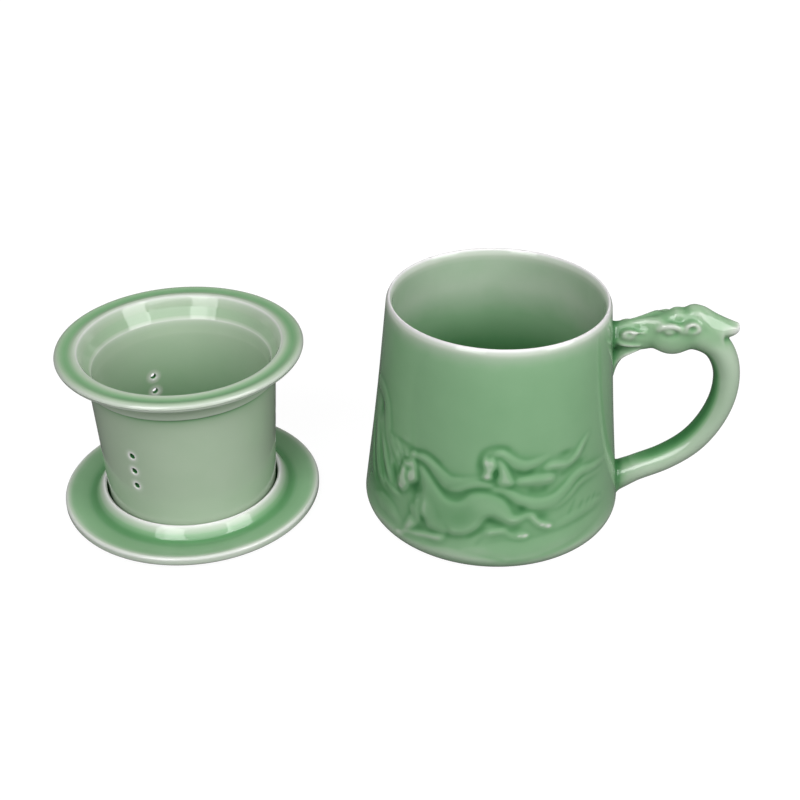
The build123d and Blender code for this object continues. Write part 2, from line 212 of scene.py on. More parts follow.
@dataclass(frozen=True)
class Glaze:
    """Celadon: an iron glaze over pale porcelain, dipped and fired in reduction.

    It looks deep and glassy. It runs off edges while molten, so a ridge shows the pale body and a hollow
    fills with darker green.

    Attributes:
        name: material's name.
        body: colour where the glaze is thinnest.
        thin, even, deep, pooled: colours as the glaze grows thicker.
        shift: thickness in millimetres added all over.
        body_at, thin_at, even_at, deep_at, pooled_at: thickness at which each colour shows.
        cloud_size, cloud_depth: size and change of thickness of the slow clouds of a poured glaze.
        ripple_size, ripple_depth: width and height of the skin's fine ripple.
        smoothest, roughest: roughness of the skin, which changes with the ripple.
        ior: index of refraction of a glass-like glaze.
        wander_size, wander: width and amount by which the wiped edge wanders.
    """
    name: str
    body: str = "#DFDEDE"
    thin: str = "#B2BFAE"
    even: str = "#7FA57F"
    deep: str = "#5C8C5F"
    pooled: str = "#336A3B"
    shift: float = 0.0
    body_at: float = 0.10
    thin_at: float = 0.32
    even_at: float = 0.50
    deep_at: float = 0.74
    pooled_at: float = 1.05
    cloud_size: float = 14.0
    cloud_depth: float = 0.015
    ripple_size: float = 1.6
    ripple_depth: float = 0.004
    smoothest: float = 0.05
    roughest: float = 0.09
    ior: float = 1.5
    wander_size: float = 5.0
    wander: float = 0.3

    def material(self) -> bpy.types.Material:
        """Builds the glaze's material, with bare clay where the piece says so.

        Returns:
            The material.
        """
        made = bpy.data.materials.new(self.name)
        made.use_nodes = True
        made.node_tree.nodes.clear()
        add = partial(add_node, made.node_tree)
        place = add("ShaderNodeTexCoord").outputs["Object"]
        ramp = add("ShaderNodeValToRGB", {"Fac": self.thickness(made.node_tree, place)})
        stops = [(self.body_at, self.body), (self.thin_at, self.thin), (self.even_at, self.even),
                 (self.deep_at, self.deep), (self.pooled_at, self.pooled)]
        ramp.color_ramp.elements.remove(ramp.color_ramp.elements[0])
        for i, (position, code) in enumerate(stops):
            stop = ramp.color_ramp.elements.new(position) if i else ramp.color_ramp.elements[0]
            stop.position, stop.color = position, linear(code)
        ripple = add("ShaderNodeTexNoise",
                     {"Vector": place, "Scale": 1 / (self.ripple_size * MM), "Detail": 2.0})
        bump = add("ShaderNodeBump", {"Height": ripple.outputs["Fac"], "Strength": 1.0,
                                      "Distance": self.ripple_depth * MM})
        gloss = add("ShaderNodeMapRange", {"Value": ripple.outputs["Fac"], "To Min": self.smoothest,
                                           "To Max": self.roughest})
        glassy = add("ShaderNodeBsdfPrincipled",
                     {"Base Color": ramp.outputs["Color"], "Roughness": gloss.outputs["Result"],
                      "Normal": bump.outputs["Normal"], "IOR": self.ior})
        clay = BARE_CLAY.shader(made.node_tree, place)
        joined = add("ShaderNodeMixShader", {"Fac": self.wiped_edge(made.node_tree, place),
                                             1: glassy.outputs["BSDF"], 2: clay})
        add("ShaderNodeOutputMaterial", {"Surface": joined.outputs["Shader"]})
        return made

    def thickness(self, tree: bpy.types.NodeTree, place: bpy.types.NodeSocket) -> bpy.types.NodeSocket:
        """Adds the slow clouding of a poured glaze to the piece's own thickness.

        Args:
            tree: the material's tree.
            place: the point's place on the piece.
        Returns:
            Socket with the thickness in millimetres.
        """
        add = partial(add_node, tree)
        laid = add("ShaderNodeAttribute", attribute_name="glaze").outputs["Fac"]
        cloud = add("ShaderNodeTexNoise",
                    {"Vector": place, "Scale": 1 / (self.cloud_size * MM), "Detail": 3.0})
        spread = add("ShaderNodeMapRange", {"Value": cloud.outputs["Fac"], "From Min": 0.3, "From Max": 0.7,
                                            "To Min": self.shift - self.cloud_depth,
                                            "To Max": self.shift + self.cloud_depth})
        return add("ShaderNodeMath", {0: laid, 1: spread.outputs["Result"]}, operation="ADD").outputs[0]

    def wiped_edge(self, tree: bpy.types.NodeTree, place: bpy.types.NodeSocket) -> bpy.types.NodeSocket:
        """Makes the line where the glaze was wiped off slightly uneven.

        Args:
            tree: the material's tree.
            place: the point's place on the piece.
        Returns:
            Socket that is 1 on bare clay.
        """
        add = partial(add_node, tree)
        bare = add("ShaderNodeAttribute", attribute_name="bare").outputs["Fac"]
        noise = add("ShaderNodeTexNoise",
                    {"Vector": place, "Scale": 1 / (self.wander_size * MM), "Detail": 2.0})
        moved = add("ShaderNodeMath", {0: noise.outputs["Fac"], 1: self.wander, 2: bare},
                    operation="MULTIPLY_ADD")
        return add("ShaderNodeMapRange", {"Value": moved.outputs[0], "From Min": 0.60,
                                          "From Max": 0.72}).outputs["Result"]


@dataclass(frozen=True)
class Clay:
    """Bare porcelain on the foot rings: fired hard, matt and faintly sandy, toasted to a warm cream.

    Attributes:
        light, dark: colours of the clay's face and of the specks in it.
        grain: width of its sand.
        relief: height of its sand.
        roughness: how matt it is.
    """
    light: str = "#D9CFC0"
    dark: str = "#C2B19A"
    grain: float = 0.7
    relief: float = 0.02
    roughness: float = 0.85

    def shader(self, tree: bpy.types.NodeTree, place: bpy.types.NodeSocket) -> bpy.types.NodeSocket:
        """Adds the clay's shader to a glaze's tree.

        Args:
            tree: the material's tree.
            place: the point's place on the piece.
        Returns:
            The clay shader's output.
        """
        add = partial(add_node, tree)
        sand = add("ShaderNodeTexNoise", {"Vector": place, "Scale": 1 / (self.grain * MM), "Detail": 4.0})
        tone = add("ShaderNodeValToRGB", {"Fac": sand.outputs["Fac"]})
        for stop, code, position in zip(tone.color_ramp.elements, (self.dark, self.light), (0.35, 0.65)):
            stop.color, stop.position = linear(code), position
        bump = add("ShaderNodeBump", {"Height": sand.outputs["Fac"], "Strength": 1.0,
                                      "Distance": self.relief * MM})
        return add("ShaderNodeBsdfPrincipled",
                   {"Base Color": tone.outputs["Color"], "Roughness": self.roughness,
                    "Normal": bump.outputs["Normal"]}).outputs["BSDF"]


BARE_CLAY = Clay()


@dataclass(frozen=True)
class Firing:
    """How molten glaze levels: it leaves ridges thin and fills hollows, over a fine and a broad reach.

    Attributes:
        laid: thickness in millimetres as dipped.
        fine_reach, broad_reach: widths over which it levels.
        fine_gain, broad_gain: share of a ridge or hollow that each takes up.
        ridge, hollow: how freely glaze leaves a ridge and fills a hollow.
    """
    laid: float = 0.5
    fine_reach: float = 0.8
    fine_gain: float = 1.0
    broad_reach: float = 2.6
    broad_gain: float = 0.3
    ridge: float = 0.5
    hollow: float = 1.1

    def thickness(self, surface: np.ndarray, pitch: float, sign: float = 1.0) -> np.ndarray:
        """Thickness of the fired glaze over a grid of heights or distances.

        Args:
            surface: heights above a wall, or distances from a surface.
            pitch: the grid's spacing in millimetres.
            sign: 1 for heights, -1 for distances from a surface.
        Returns:
            Thickness in millimetres, on the same grid.
        """
        fine = blurred(surface, self.fine_reach / pitch) - surface
        broad = blurred(surface, self.broad_reach / pitch) - surface
        return self.levelled(sign * (self.fine_gain * fine + self.broad_gain * broad))

    def levelled(self, run: np.ndarray) -> np.ndarray:
        """Thickness left by a run of glaze: less than was laid on a ridge, more in a hollow."""
        return self.laid + run * np.where(run > 0, self.hollow, self.ridge)


FIRING = Firing()
TURNED = Firing(hollow=0.75)
CARVED = Firing(fine_gain=1.1, broad_gain=0.4, hollow=1.25)


# ---------------------------------------------------------------- turned forms

@dataclass(frozen=True)
class Corner:
    """Corner of a turned outline.

    Attributes:
        radius: distance from the axis.
        height: height above the piece's foot.
        round: radius of the arc that rounds it.
        step: spacing of points on the straight run that leads to it.
    """
    radius: float
    height: float
    round: float = 0.0
    step: float = 1.4


@dataclass
class Outline:
    """Half section of a turned piece, from the middle underneath out, up and back to the middle inside.

    Attributes:
        corners: its corners in order.
        arc_step: largest turn from one point of an arc to the next.
        fine_step: spacing at which the thickness of its glaze is worked out.
    """
    corners: list[Corner]
    arc_step: float = math.radians(11)
    fine_step: float = 0.1

    def points(self) -> np.ndarray:
        """Follows the corners with their arcs.

        Returns:
            One row of radius and height per point.
        """
        places = [np.array([c.radius, c.height]) for c in self.corners]
        path = [places[0]]
        for i, corner in enumerate(self.corners[1:], 1):
            last = i == len(self.corners) - 1
            arc = [places[i]] if last or not corner.round else self.arc(places[i - 1:i + 2], corner)
            gap = arc[0] - path[-1]
            count = max(1, round(float(np.hypot(*gap)) / corner.step))
            path += [path[-1] + gap * k / count for k in range(1, count)]
            path += arc
        return np.array(path)

    def arc(self, around: list[np.ndarray], corner: Corner) -> list[np.ndarray]:
        """Rounds one corner.

        Args:
            around: the places before, at and after the corner.
            corner: the corner.
        Returns:
            Points of the arc, ends included.
        """
        before, place, after = around
        back = (before - place) / np.hypot(*(before - place))
        ahead = (after - place) / np.hypot(*(after - place))
        half = math.acos(float(np.clip(back @ ahead, -1, 1))) / 2
        reach = corner.round / math.tan(half)
        middle = (back + ahead) / np.hypot(*(back + ahead))
        centre = place + middle * corner.round / math.sin(half)
        turn = math.pi - 2 * half
        count = max(2, math.ceil(turn / self.arc_step), math.ceil(turn * corner.round / corner.step))
        first, final = place + back * reach - centre, place + ahead * reach - centre
        return [centre + (first * math.sin((1 - t) * turn) + final * math.sin(t * turn)) / math.sin(turn)
                for t in np.linspace(0, 1, count + 1)]

    def glaze(self, path: np.ndarray) -> np.ndarray:
        """Thickness of the fired glaze along the outline.

        Args:
            path: the outline's points.
        Returns:
            Thickness in millimetres at each point.
        """
        along = np.concatenate([[0], np.cumsum(np.hypot(*np.diff(path, axis=0).T))])
        even = np.arange(0, along[-1], self.fine_step)
        line = np.stack([np.interp(even, along, path[:, axis]) for axis in (0, 1)], axis=1)
        way = np.gradient(blurred(line[:, 0], 3.0)), np.gradient(blurred(line[:, 1], 3.0))
        outward = np.stack([way[1], -way[0]], axis=1) / np.hypot(*way)[:, None]
        run = np.zeros(len(even))
        for reach, gain in ((TURNED.fine_reach, TURNED.fine_gain), (TURNED.broad_reach, TURNED.broad_gain)):
            level = np.stack([blurred(line[:, axis], reach / self.fine_step) for axis in (0, 1)], axis=1)
            run += gain * ((level - line) * outward).sum(axis=1)
        return np.interp(along, even, TURNED.levelled(run))


class Tool:
    """Geometry Nodes tree that shapes a piece.

    Attributes:
        name: the tree's name.
        start: name of the geometry that it is given.
        inputs: for each further input's name, its type.
    """
    name: str
    start: str
    inputs: dict[str, str]

    def __init__(self) -> None:
        """Builds the tree: its inputs, the nodes that shape the piece, and the finish at its end."""
        self.tree = bpy.data.node_groups.new(self.name, "GeometryNodeTree")
        self.tree.is_modifier = True
        face = self.tree.interface
        face.new_socket(self.start, in_out="INPUT", socket_type="NodeSocketGeometry")
        kinds = {**self.inputs, "Finish": "Material"}
        self.keys = {name: face.new_socket(name, in_out="INPUT", socket_type=f"NodeSocket{kind}").identifier
                     for name, kind in kinds.items()}
        face.new_socket("Piece", in_out="OUTPUT", socket_type="NodeSocketGeometry")
        self.add = partial(add_node, self.tree)
        given = self.add("NodeGroupInput").outputs
        smooth = self.add("GeometryNodeSetShadeSmooth", {"Geometry": self.shape(given)})
        whole = self.add("GeometryNodeRealizeInstances", {"Geometry": smooth.outputs["Geometry"]})
        done = self.add("GeometryNodeSetMaterial", {"Geometry": whole.outputs["Geometry"],
                                                    "Material": given["Finish"]})
        self.add("NodeGroupOutput", {"Piece": done.outputs["Geometry"]})

    def shape(self, given: bpy.types.NodeOutputs) -> bpy.types.NodeSocket:
        """Adds the nodes that shape the piece, and returns its geometry."""
        raise NotImplementedError

    def use(self, piece: bpy.types.Object, values: dict) -> None:
        """Adds the tree to a piece as a modifier.

        Args:
            piece: the piece.
            values: for each input's name, its value.
        """
        modifier = piece.modifiers.new(self.name, "NODES")
        modifier.node_group = self.tree
        for name, value in values.items():
            modifier[self.keys[name]] = value


class Wheel(Tool):
    """Turns an outline about the Z axis, as clay is turned on a wheel."""
    name = "turned_on_the_wheel"
    start = "Outline"
    inputs = {"Sides": "Int"}

    def shape(self, given: bpy.types.NodeOutputs) -> bpy.types.NodeSocket:
        """Lays a grid of one column per side, bends it round and carries the outline's values over.

        Args:
            given: the tree's inputs.
        Returns:
            The turned geometry.
        """
        add, outline, sides = self.add, given["Outline"], given["Sides"]
        rows = add("GeometryNodeAttributeDomainSize", {"Geometry": outline}).outputs["Point Count"]
        columns = add("ShaderNodeMath", {0: sides, 1: 1.0}, operation="ADD").outputs[0]
        sheet = add("GeometryNodeMeshGrid", {"Vertices X": columns, "Vertices Y": rows}).outputs["Mesh"]
        index = add("GeometryNodeInputIndex").outputs["Index"]
        row = add("ShaderNodeMath", {0: index, 1: rows}, operation="MODULO").outputs[0]
        share = add("ShaderNodeMath", {0: index, 1: rows}, operation="DIVIDE").outputs[0]
        column = add("ShaderNodeMath", {0: share}, operation="FLOOR").outputs[0]
        turn = add("ShaderNodeMath", {0: column, 1: sides}, operation="DIVIDE").outputs[0]
        angle = add("ShaderNodeMath", {0: turn, 1: WHOLE_TURN}, operation="MULTIPLY").outputs[0]
        place = add("GeometryNodeInputPosition").outputs["Position"]
        spot = add("GeometryNodeSampleIndex", {"Geometry": outline, "Value": place, "Index": row},
                   data_type="FLOAT_VECTOR").outputs["Value"]
        bent = add("ShaderNodeVectorRotate", {"Vector": spot, "Angle": angle},
                   rotation_type="Z_AXIS").outputs["Vector"]
        shape = add("GeometryNodeSetPosition", {"Geometry": sheet, "Position": bent}).outputs["Geometry"]
        for name in ("glaze", "bare"):
            held = add("GeometryNodeInputNamedAttribute", {"Name": name}, data_type="FLOAT")
            value = add("GeometryNodeSampleIndex",
                        {"Geometry": outline, "Value": held.outputs["Attribute"], "Index": row})
            shape = add("GeometryNodeStoreNamedAttribute",
                        {"Geometry": shape, "Name": name, "Value": value.outputs["Value"]},
                        data_type="FLOAT", domain="POINT").outputs["Geometry"]
        return add("GeometryNodeMergeByDistance",
                   {"Geometry": shape, "Distance": 0.002 * MM}).outputs["Geometry"]


class Drill(Tool):
    """Pierces a cup: columns of holes through its side, and a rose of holes through its floor.

    Attributes:
        sides: number of sides of a hole.
        straight: half length in millimetres of the drill's straight middle.
        flare: how quickly it widens beyond that.
        rim_glaze: share of its glaze that a hole's rim keeps.
    """
    name = "pierced_with_drain_holes"
    start = "Cup"
    inputs = {"Hole radius": "Float", "Drill length": "Float", "Top hole": "Vector", "Step down": "Vector",
              "Rows": "Int", "Columns": "Int", "First azimuth": "Float", "Floor height": "Float",
              "Rose radius": "Float", "Rose holes": "Int", "Halo": "Float", "Filled": "Float"}
    sides: int = 28
    straight: float = 0.75
    flare: float = 1.2
    rim_glaze: float = 0.25

    def bit(self, given: bpy.types.NodeOutputs) -> bpy.types.NodeSocket:
        """Shapes the drill: straight in the middle, flared where it meets the wall's faces, for soft rims.

        Args:
            given: the tree's inputs.
        Returns:
            The drill's geometry, standing along Z.
        """
        add = self.add
        rod = add("GeometryNodeMeshCylinder",
                  {"Vertices": self.sides, "Side Segments": 24, "Radius": given["Hole radius"],
                   "Depth": given["Drill length"]}).outputs["Mesh"]
        place = add("GeometryNodeInputPosition").outputs["Position"]
        height = add("ShaderNodeSeparateXYZ", {"Vector": place}).outputs["Z"]
        off = add("ShaderNodeMath", {0: height}, operation="ABSOLUTE").outputs[0]
        past = add("ShaderNodeMapRange", {"Value": off, "From Min": self.straight * MM,
                                          "From Max": (self.straight + 1) * MM}).outputs["Result"]
        square = add("ShaderNodeMath", {0: past, 1: past}, operation="MULTIPLY").outputs[0]
        wide = add("ShaderNodeMath", {0: square, 1: self.flare, 2: 1.0},
                   operation="MULTIPLY_ADD").outputs[0]
        scale = add("ShaderNodeCombineXYZ", {"X": wide, "Y": wide, "Z": 1.0}).outputs["Vector"]
        shaped = add("ShaderNodeVectorMath", {0: place, 1: scale}, operation="MULTIPLY").outputs["Vector"]
        return add("GeometryNodeSetPosition", {"Geometry": rod, "Position": shaped}).outputs["Geometry"]

    def side_holes(self, given: bpy.types.NodeOutputs, bit: bpy.types.NodeSocket) -> bpy.types.NodeSocket:
        """Sets a column of drills down the wall, and repeats it round the axis.

        Args:
            given: the tree's inputs.
            bit: the drill.
        Returns:
            The drills as instances.
        """
        add = self.add
        spots = add("GeometryNodeMeshLine", {"Count": given["Rows"], "Start Location": given["Top hole"],
                                             "Offset": given["Step down"]}).outputs["Mesh"]
        column = add("GeometryNodeInstanceOnPoints", {"Points": spots, "Instance": bit,
                                                      "Rotation": (0.0, math.pi / 2, 0.0)})
        index = add("GeometryNodeInputIndex").outputs["Index"]
        share = add("ShaderNodeMath", {0: index, 1: given["Columns"]}, operation="DIVIDE").outputs[0]
        turn = add("ShaderNodeMath", {0: share, 1: WHOLE_TURN, 2: given["First azimuth"]},
                   operation="MULTIPLY_ADD").outputs[0]
        aim = add("ShaderNodeCombineXYZ", {"Z": turn}).outputs["Vector"]
        axes = add("GeometryNodePoints", {"Count": given["Columns"]}).outputs["Geometry"]
        return add("GeometryNodeInstanceOnPoints", {"Points": axes, "Instance": column.outputs["Instances"],
                                                    "Rotation": aim}).outputs["Instances"]

    def floor_holes(self, given: bpy.types.NodeOutputs, bit: bpy.types.NodeSocket) -> bpy.types.NodeSocket:
        """Sets a drill in the middle of the floor and a ring of them round it.

        Args:
            given: the tree's inputs.
            bit: the drill.
        Returns:
            The drills as instances.
        """
        add = self.add
        ring = add("GeometryNodeMeshCircle",
                   {"Vertices": given["Rose holes"], "Radius": given["Rose radius"]})
        middle = add("GeometryNodePoints", {"Count": 1}).outputs["Geometry"]
        spots = add("GeometryNodeJoinGeometry", {"Geometry": [ring.outputs["Mesh"], middle]})
        level = add("ShaderNodeCombineXYZ", {"Z": given["Floor height"]}).outputs["Vector"]
        raised = add("GeometryNodeSetPosition", {"Geometry": spots.outputs["Geometry"], "Offset": level})
        return add("GeometryNodeInstanceOnPoints", {"Points": raised.outputs["Geometry"],
                                                    "Instance": bit}).outputs["Instances"]

    def faded(self, surface: bpy.types.NodeSocket, reach: bpy.types.NodeSocket) -> bpy.types.NodeSocket:
        """Rises from 0 on a surface to 1 well away from it.

        Args:
            surface: the surface.
            reach: distance over which it rises.
        Returns:
            Socket with the value.
        """
        add = self.add
        near = add("GeometryNodeProximity", {"Geometry": surface},
                   target_element="FACES").outputs["Distance"]
        far = add("ShaderNodeMath", {0: near, 1: reach}, operation="DIVIDE").outputs[0]
        square = add("ShaderNodeMath", {0: far, 1: far}, operation="MULTIPLY").outputs[0]
        left = add("ShaderNodeMath", {0: math.exp(-1), 1: square}, operation="POWER").outputs[0]
        return add("ShaderNodeMath", {0: 1.0, 1: left}, operation="SUBTRACT").outputs[0]

    def shape(self, given: bpy.types.NodeOutputs) -> bpy.types.NodeSocket:
        """Cuts the drills from the cup, thins the glaze round every rim, and thickens it inside the holes,
        partly glaze gathered there and partly painted shade of the deep holes.

        Args:
            given: the tree's inputs.
        Returns:
            The pierced geometry.
        """
        add, cup, bit = self.add, given["Cup"], self.bit(given)
        drills = add("GeometryNodeJoinGeometry",
                     {"Geometry": [self.side_holes(given, bit), self.floor_holes(given, bit)]})
        solid = add("GeometryNodeRealizeInstances", {"Geometry": drills.outputs["Geometry"]})
        solid = solid.outputs["Geometry"]
        shape = add("GeometryNodeMeshBoolean", {"Mesh 1": cup, "Mesh 2": solid},
                    operation="DIFFERENCE", solver="MANIFOLD").outputs["Mesh"]
        keep = add("ShaderNodeMath", {0: self.faded(solid, given["Halo"]), 1: 1 - self.rim_glaze,
                                      2: self.rim_glaze}, operation="MULTIPLY_ADD").outputs[0]
        # glaze thickens into each hole: partly glaze gathered there, partly painted shade of the deep hole
        filled = self.faded(cup, given["Filled"])
        for name in ("glaze", "bare"):
            held = add("GeometryNodeInputNamedAttribute", {"Name": name}, data_type="FLOAT")
            value = add("GeometryNodeSampleNearestSurface",
                        {"Mesh": cup, "Value": held.outputs["Attribute"]},
                        data_type="FLOAT").outputs["Value"]
            if name == "glaze":
                value = add("ShaderNodeMath", {0: value, 1: keep, 2: filled},
                            operation="MULTIPLY_ADD").outputs[0]
            shape = add("GeometryNodeStoreNamedAttribute",
                        {"Geometry": shape, "Name": name, "Value": value},
                        data_type="FLOAT", domain="POINT").outputs["Geometry"]
        return shape


@dataclass
class Turned:
    """What the lid and the infuser share: an outline turned on the wheel about their own axis.

    Attributes:
        node: CAD node that the piece stands for.
        body: CAD body that it rides on.
        slot: the record's slot for its finish; not used.
        finish: its glaze.
        sides: number of sides of the turned mesh.
    """
    node: str
    body: str
    slot: str
    finish: Glaze
    sides: int = 288

    def outline(self) -> Outline:
        """Half section of the piece."""
        raise NotImplementedError

    def bare(self, path: np.ndarray) -> np.ndarray:
        """Where the clay was wiped clean, from 0 to 1, along the outline."""
        raise NotImplementedError

    def run_down(self, path: np.ndarray) -> np.ndarray:
        """Change of the glaze's thickness along the outline, where it ran while molten."""
        return np.zeros(len(path))

    def turn(self) -> bpy.types.Object:
        """Turns the outline and leaves a plain mesh at its place in the frame.

        Returns:
            The piece, with its finish.
        """
        path = self.outline().points()
        points = np.stack([path[:, 0], np.zeros(len(path)), path[:, 1]], axis=1)
        links = list(zip(range(len(path) - 1), range(1, len(path))))
        values = {"glaze": self.outline().glaze(path) + self.run_down(path), "bare": self.bare(path)}
        piece = make_piece(f"{self.node}_glazed", points, links, values)
        material = self.finish.material()
        Wheel().use(piece, {"Sides": self.sides, "Finish": material})
        self.pierce(piece, material)
        self.settle(piece)
        return piece

    def pierce(self, piece: bpy.types.Object, material: bpy.types.Material) -> None:
        """Adds whatever is cut through the turned form; nothing, unless a piece says otherwise."""

    def settle(self, piece: bpy.types.Object) -> None:
        """Makes the modifiers' result a plain mesh at the node's place, and ties it to the frame.

        Args:
            piece: the object whose modifiers make it.
        """
        graph = bpy.context.evaluated_depsgraph_get()
        mesh = bpy.data.meshes.new_from_object(piece.evaluated_get(graph), preserve_all_data_layers=True,
                                               depsgraph=graph)
        piece.modifiers.clear()
        piece.data = mesh
        low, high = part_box(self.node)
        count = len(mesh.vertices)
        places = np.empty(count * 3, np.float32)
        mesh.vertices.foreach_get("co", places)
        places = places.reshape(-1, 3) + np.array([(low.x + high.x) / 2, (low.y + high.y) / 2, low.z])
        mesh.vertices.foreach_set("co", places.astype(np.float32).ravel())
        mesh.update()
        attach(piece, self.body)
        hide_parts(self.node)


@dataclass
class Infuser(Turned):
    """Strainer cup with a wide dished flange, a recess for the lid's ring and drain holes.

    Attributes:
        shoulder_drop, ledge_drop: depth of the shoulder and of the ledge inside below the top.
        top_hole: height of the topmost drain hole.
        first_azimuth: direction of the first column of holes in degrees.
        rose_radius, rose_holes: radius and number of the ring of holes in the floor.
        halo: reach over which the glaze is thin round a hole.
        filled: depth over which the glaze thickens inside a hole and darkens its walls, partly glaze
            gathered there and partly painted shade of the deep hole.
    """
    height: float = 67.5
    flange_radius: float = 45.7
    lip_radius: float = 37.8
    ledge_radius: float = 33.2
    shoulder_radius: float = 36.6
    cup_top: float = 34.9
    cup_base: float = 32.3
    wall: float = 2.4
    floor: float = 2.6
    underside: float = 0.8
    foot_inner: float = 26.5
    shoulder_drop: float = 12.4
    ledge_drop: float = 10.0
    hole_radius: float = 1.1
    hole_pitch: float = 6.7
    top_hole: float = 35.6
    hole_rows: int = 3
    hole_columns: int = 3
    first_azimuth: float = 2.5
    rose_radius: float = 14.0
    rose_holes: int = 6
    drill_length: float = 3.6
    halo: float = 0.6
    filled: float = 0.45

    def outline(self) -> Outline:
        """Half section, from the middle of the foot to the middle of the cup's floor.

        Returns:
            The outline.
        """
        top, ledge = self.height, self.height - self.ledge_drop
        shoulder = top - self.shoulder_drop
        inside = self.cup_base - self.wall
        return Outline([
            Corner(0, self.underside), Corner(self.foot_inner - 0.8, self.underside, 0.5),
            Corner(self.foot_inner, 0, 0.3),
            Corner(self.cup_base - 0.1, 0, 1.5), Corner(self.cup_top, shoulder - 1.0, 0.7, step=0.8),
            Corner(self.shoulder_radius, shoulder, 0.9), Corner(self.shoulder_radius + 0.6, top - 5.6, 0.5),
            Corner(self.shoulder_radius + 2.6, top - 4.6, 1.6), Corner(self.flange_radius, top - 4.1, 2.0),
            Corner(self.flange_radius, top - 0.05, 1.8), Corner(self.flange_radius - 4.4, top - 1.5, 5.0),
            Corner(self.lip_radius, top - 0.6, 1.7), Corner(self.lip_radius - 2.1, top - 5.2, 6.0),
            Corner(self.ledge_radius, ledge + 0.6, 0.8),
            Corner(self.cup_top - self.wall, ledge - 5.0, 3.0), Corner(inside, self.floor, 5.0, step=0.8),
            Corner(0, self.floor, step=0.9)])

    def bare(self, path: np.ndarray) -> np.ndarray:
        """The foot ring is wiped clean where it stands."""
        return ((path[:, 1] < 0.35) & (path[:, 0] > self.foot_inner - 0.6)).astype(float)

    def run_down(self, path: np.ndarray) -> np.ndarray:
        """Thin on the ledge's nose, gathered above it and in the flange's channel, thick near the floor.

        Args:
            path: the outline's points.
        Returns:
            Change of thickness in millimetres at each point.
        """
        radius, height = path.T
        inside = np.arange(len(path)) > np.flatnonzero(radius > self.lip_radius)[-1]
        ledge = self.height - self.ledge_drop + 0.6
        run = np.interp(height, (15, 45, ledge - 2, ledge, ledge + 1.6, ledge + 4.5, self.height - 1.2),
                        (0.24, 0.06, 0.0, -0.14, 0.12, 0.0, -0.08))
        from_edge = self.flange_radius - radius
        channel = np.interp(from_edge, (0.4, 1.5, 4.4, 6.4, 8.0), (0.0, 0.27, 0.17, 0.08, 0.0))
        channel *= height > self.height - 3
        return np.where(inside, run, channel)

    def pierce(self, piece: bpy.types.Object, material: bpy.types.Material) -> None:
        """Pierces the drain holes.

        Args:
            piece: the turned cup.
            material: its finish.
        """
        lean = (self.cup_top - self.cup_base) / (self.height - self.shoulder_drop - 1.0)
        middle = self.cup_base + lean * self.top_hole - self.wall / 2
        pitch = self.hole_pitch * MM
        Drill().use(piece, {
            "Hole radius": self.hole_radius * MM, "Drill length": self.drill_length * MM,
            "Top hole": (middle * MM, 0.0, self.top_hole * MM), "Step down": (-pitch * lean, 0.0, -pitch),
            "Rows": self.hole_rows, "Columns": self.hole_columns,
            "First azimuth": math.radians(self.first_azimuth),
            "Floor height": (self.floor + self.underside) / 2 * MM,
            "Rose radius": self.rose_radius * MM, "Rose holes": self.rose_holes,
            "Halo": self.halo * MM, "Filled": self.filled * MM, "Finish": material})


@dataclass
class Lid(Turned):
    """Flat lid, upside down: a dished flange, a deep groove, the ring that holds the infuser, and a well.

    Attributes:
        flat_outer, flat_inner: radii of the flat ring that it lies on.
    """
    radius: float = 49.5
    edge_top: float = 7.6
    flat_outer: float = 30.0
    flat_inner: float = 27.0
    groove_radius: float = 38.4
    ring_radius: float = 33.3
    ring_height: float = 11.0
    well_floor: float = 3.6

    def outline(self) -> Outline:
        """Half section, from the middle of the back to the middle of the well."""
        return Outline([
            Corner(0, 1.0), Corner(self.flat_inner - 3.0, 1.0, 4.0), Corner(self.flat_inner, 0, 2.0),
            Corner(self.flat_outer + 0.6, 0, 3.0), Corner(self.radius - 3.2, 3.0, 3.0),
            Corner(self.radius, 4.1, 1.8), Corner(self.radius, self.edge_top + 0.05, 1.1),
            Corner(self.groove_radius + 4.2, self.edge_top - 1.1, 5.0),
            Corner(self.groove_radius, 5.9, 3.0),
            Corner(self.ring_radius + 2.0, self.ring_height - 1.0, 1.6),
            Corner(self.ring_radius + 0.9, self.ring_height + 0.05, 0.55),
            Corner(self.ring_radius, self.ring_height - 0.5, 0.5),
            Corner(self.ring_radius, self.well_floor, 1.0),
            Corner(0, self.well_floor)])

    def run_down(self, path: np.ndarray) -> np.ndarray:
        """Thin down the ring's slope, from where it ran into the groove."""
        from_ring = path[:, 0] - self.ring_radius
        slope = np.interp(from_ring, (0.0, 1.6, 3.2, 4.6, 6.0), (0.0, -0.12, -0.07, 0.03, 0.0))
        return slope * (path[:, 1] > self.well_floor + 1)

    def bare(self, path: np.ndarray) -> np.ndarray:
        """The ring that lies on the table, or on which the lid was fired, is wiped clean."""
        on_ring = (path[:, 0] > self.flat_inner - 0.8) & (path[:, 0] < self.flat_outer + 0.8)
        return ((path[:, 1] < 0.3) & on_ring).astype(float)


# ---------------------------------------------------------------- relief

@dataclass(frozen=True)
class Ribbon:
    """Lock of hair, limb or swell of ground that follows a line on the wall.

    Attributes:
        line: points of its middle line, as distance along the wall and height.
        widths: half widths from its start to its end.
        height: how far it stands out.
        strands: number of strands that it is combed into.
        crisp: how steep its edges are.
        fade: share of its length over which each end sinks into the wall.
        furrow: how deeply it presses into what lies under its edge.
    """
    line: Sequence[Point]
    widths: Sequence[float]
    height: float
    strands: int = 1
    crisp: float = 1.5
    fade: tuple[float, float] = (0.12, 0.25)
    furrow: float = 0.45


@dataclass(frozen=True)
class Mass:
    """Body, neck or head: a closed outline with rounded edges and a fuller middle.

    Attributes:
        outline: points round it, as distance along the wall and height.
        height: how far it stands out.
        edge: width of its rounded edge.
        middle: distance from the edge at which it is fullest.
        furrow: how deeply it presses into what lies under its edge.
    """
    outline: Sequence[Point]
    height: float
    edge: float = 1.3
    middle: float = 7.0
    furrow: float = 0.6


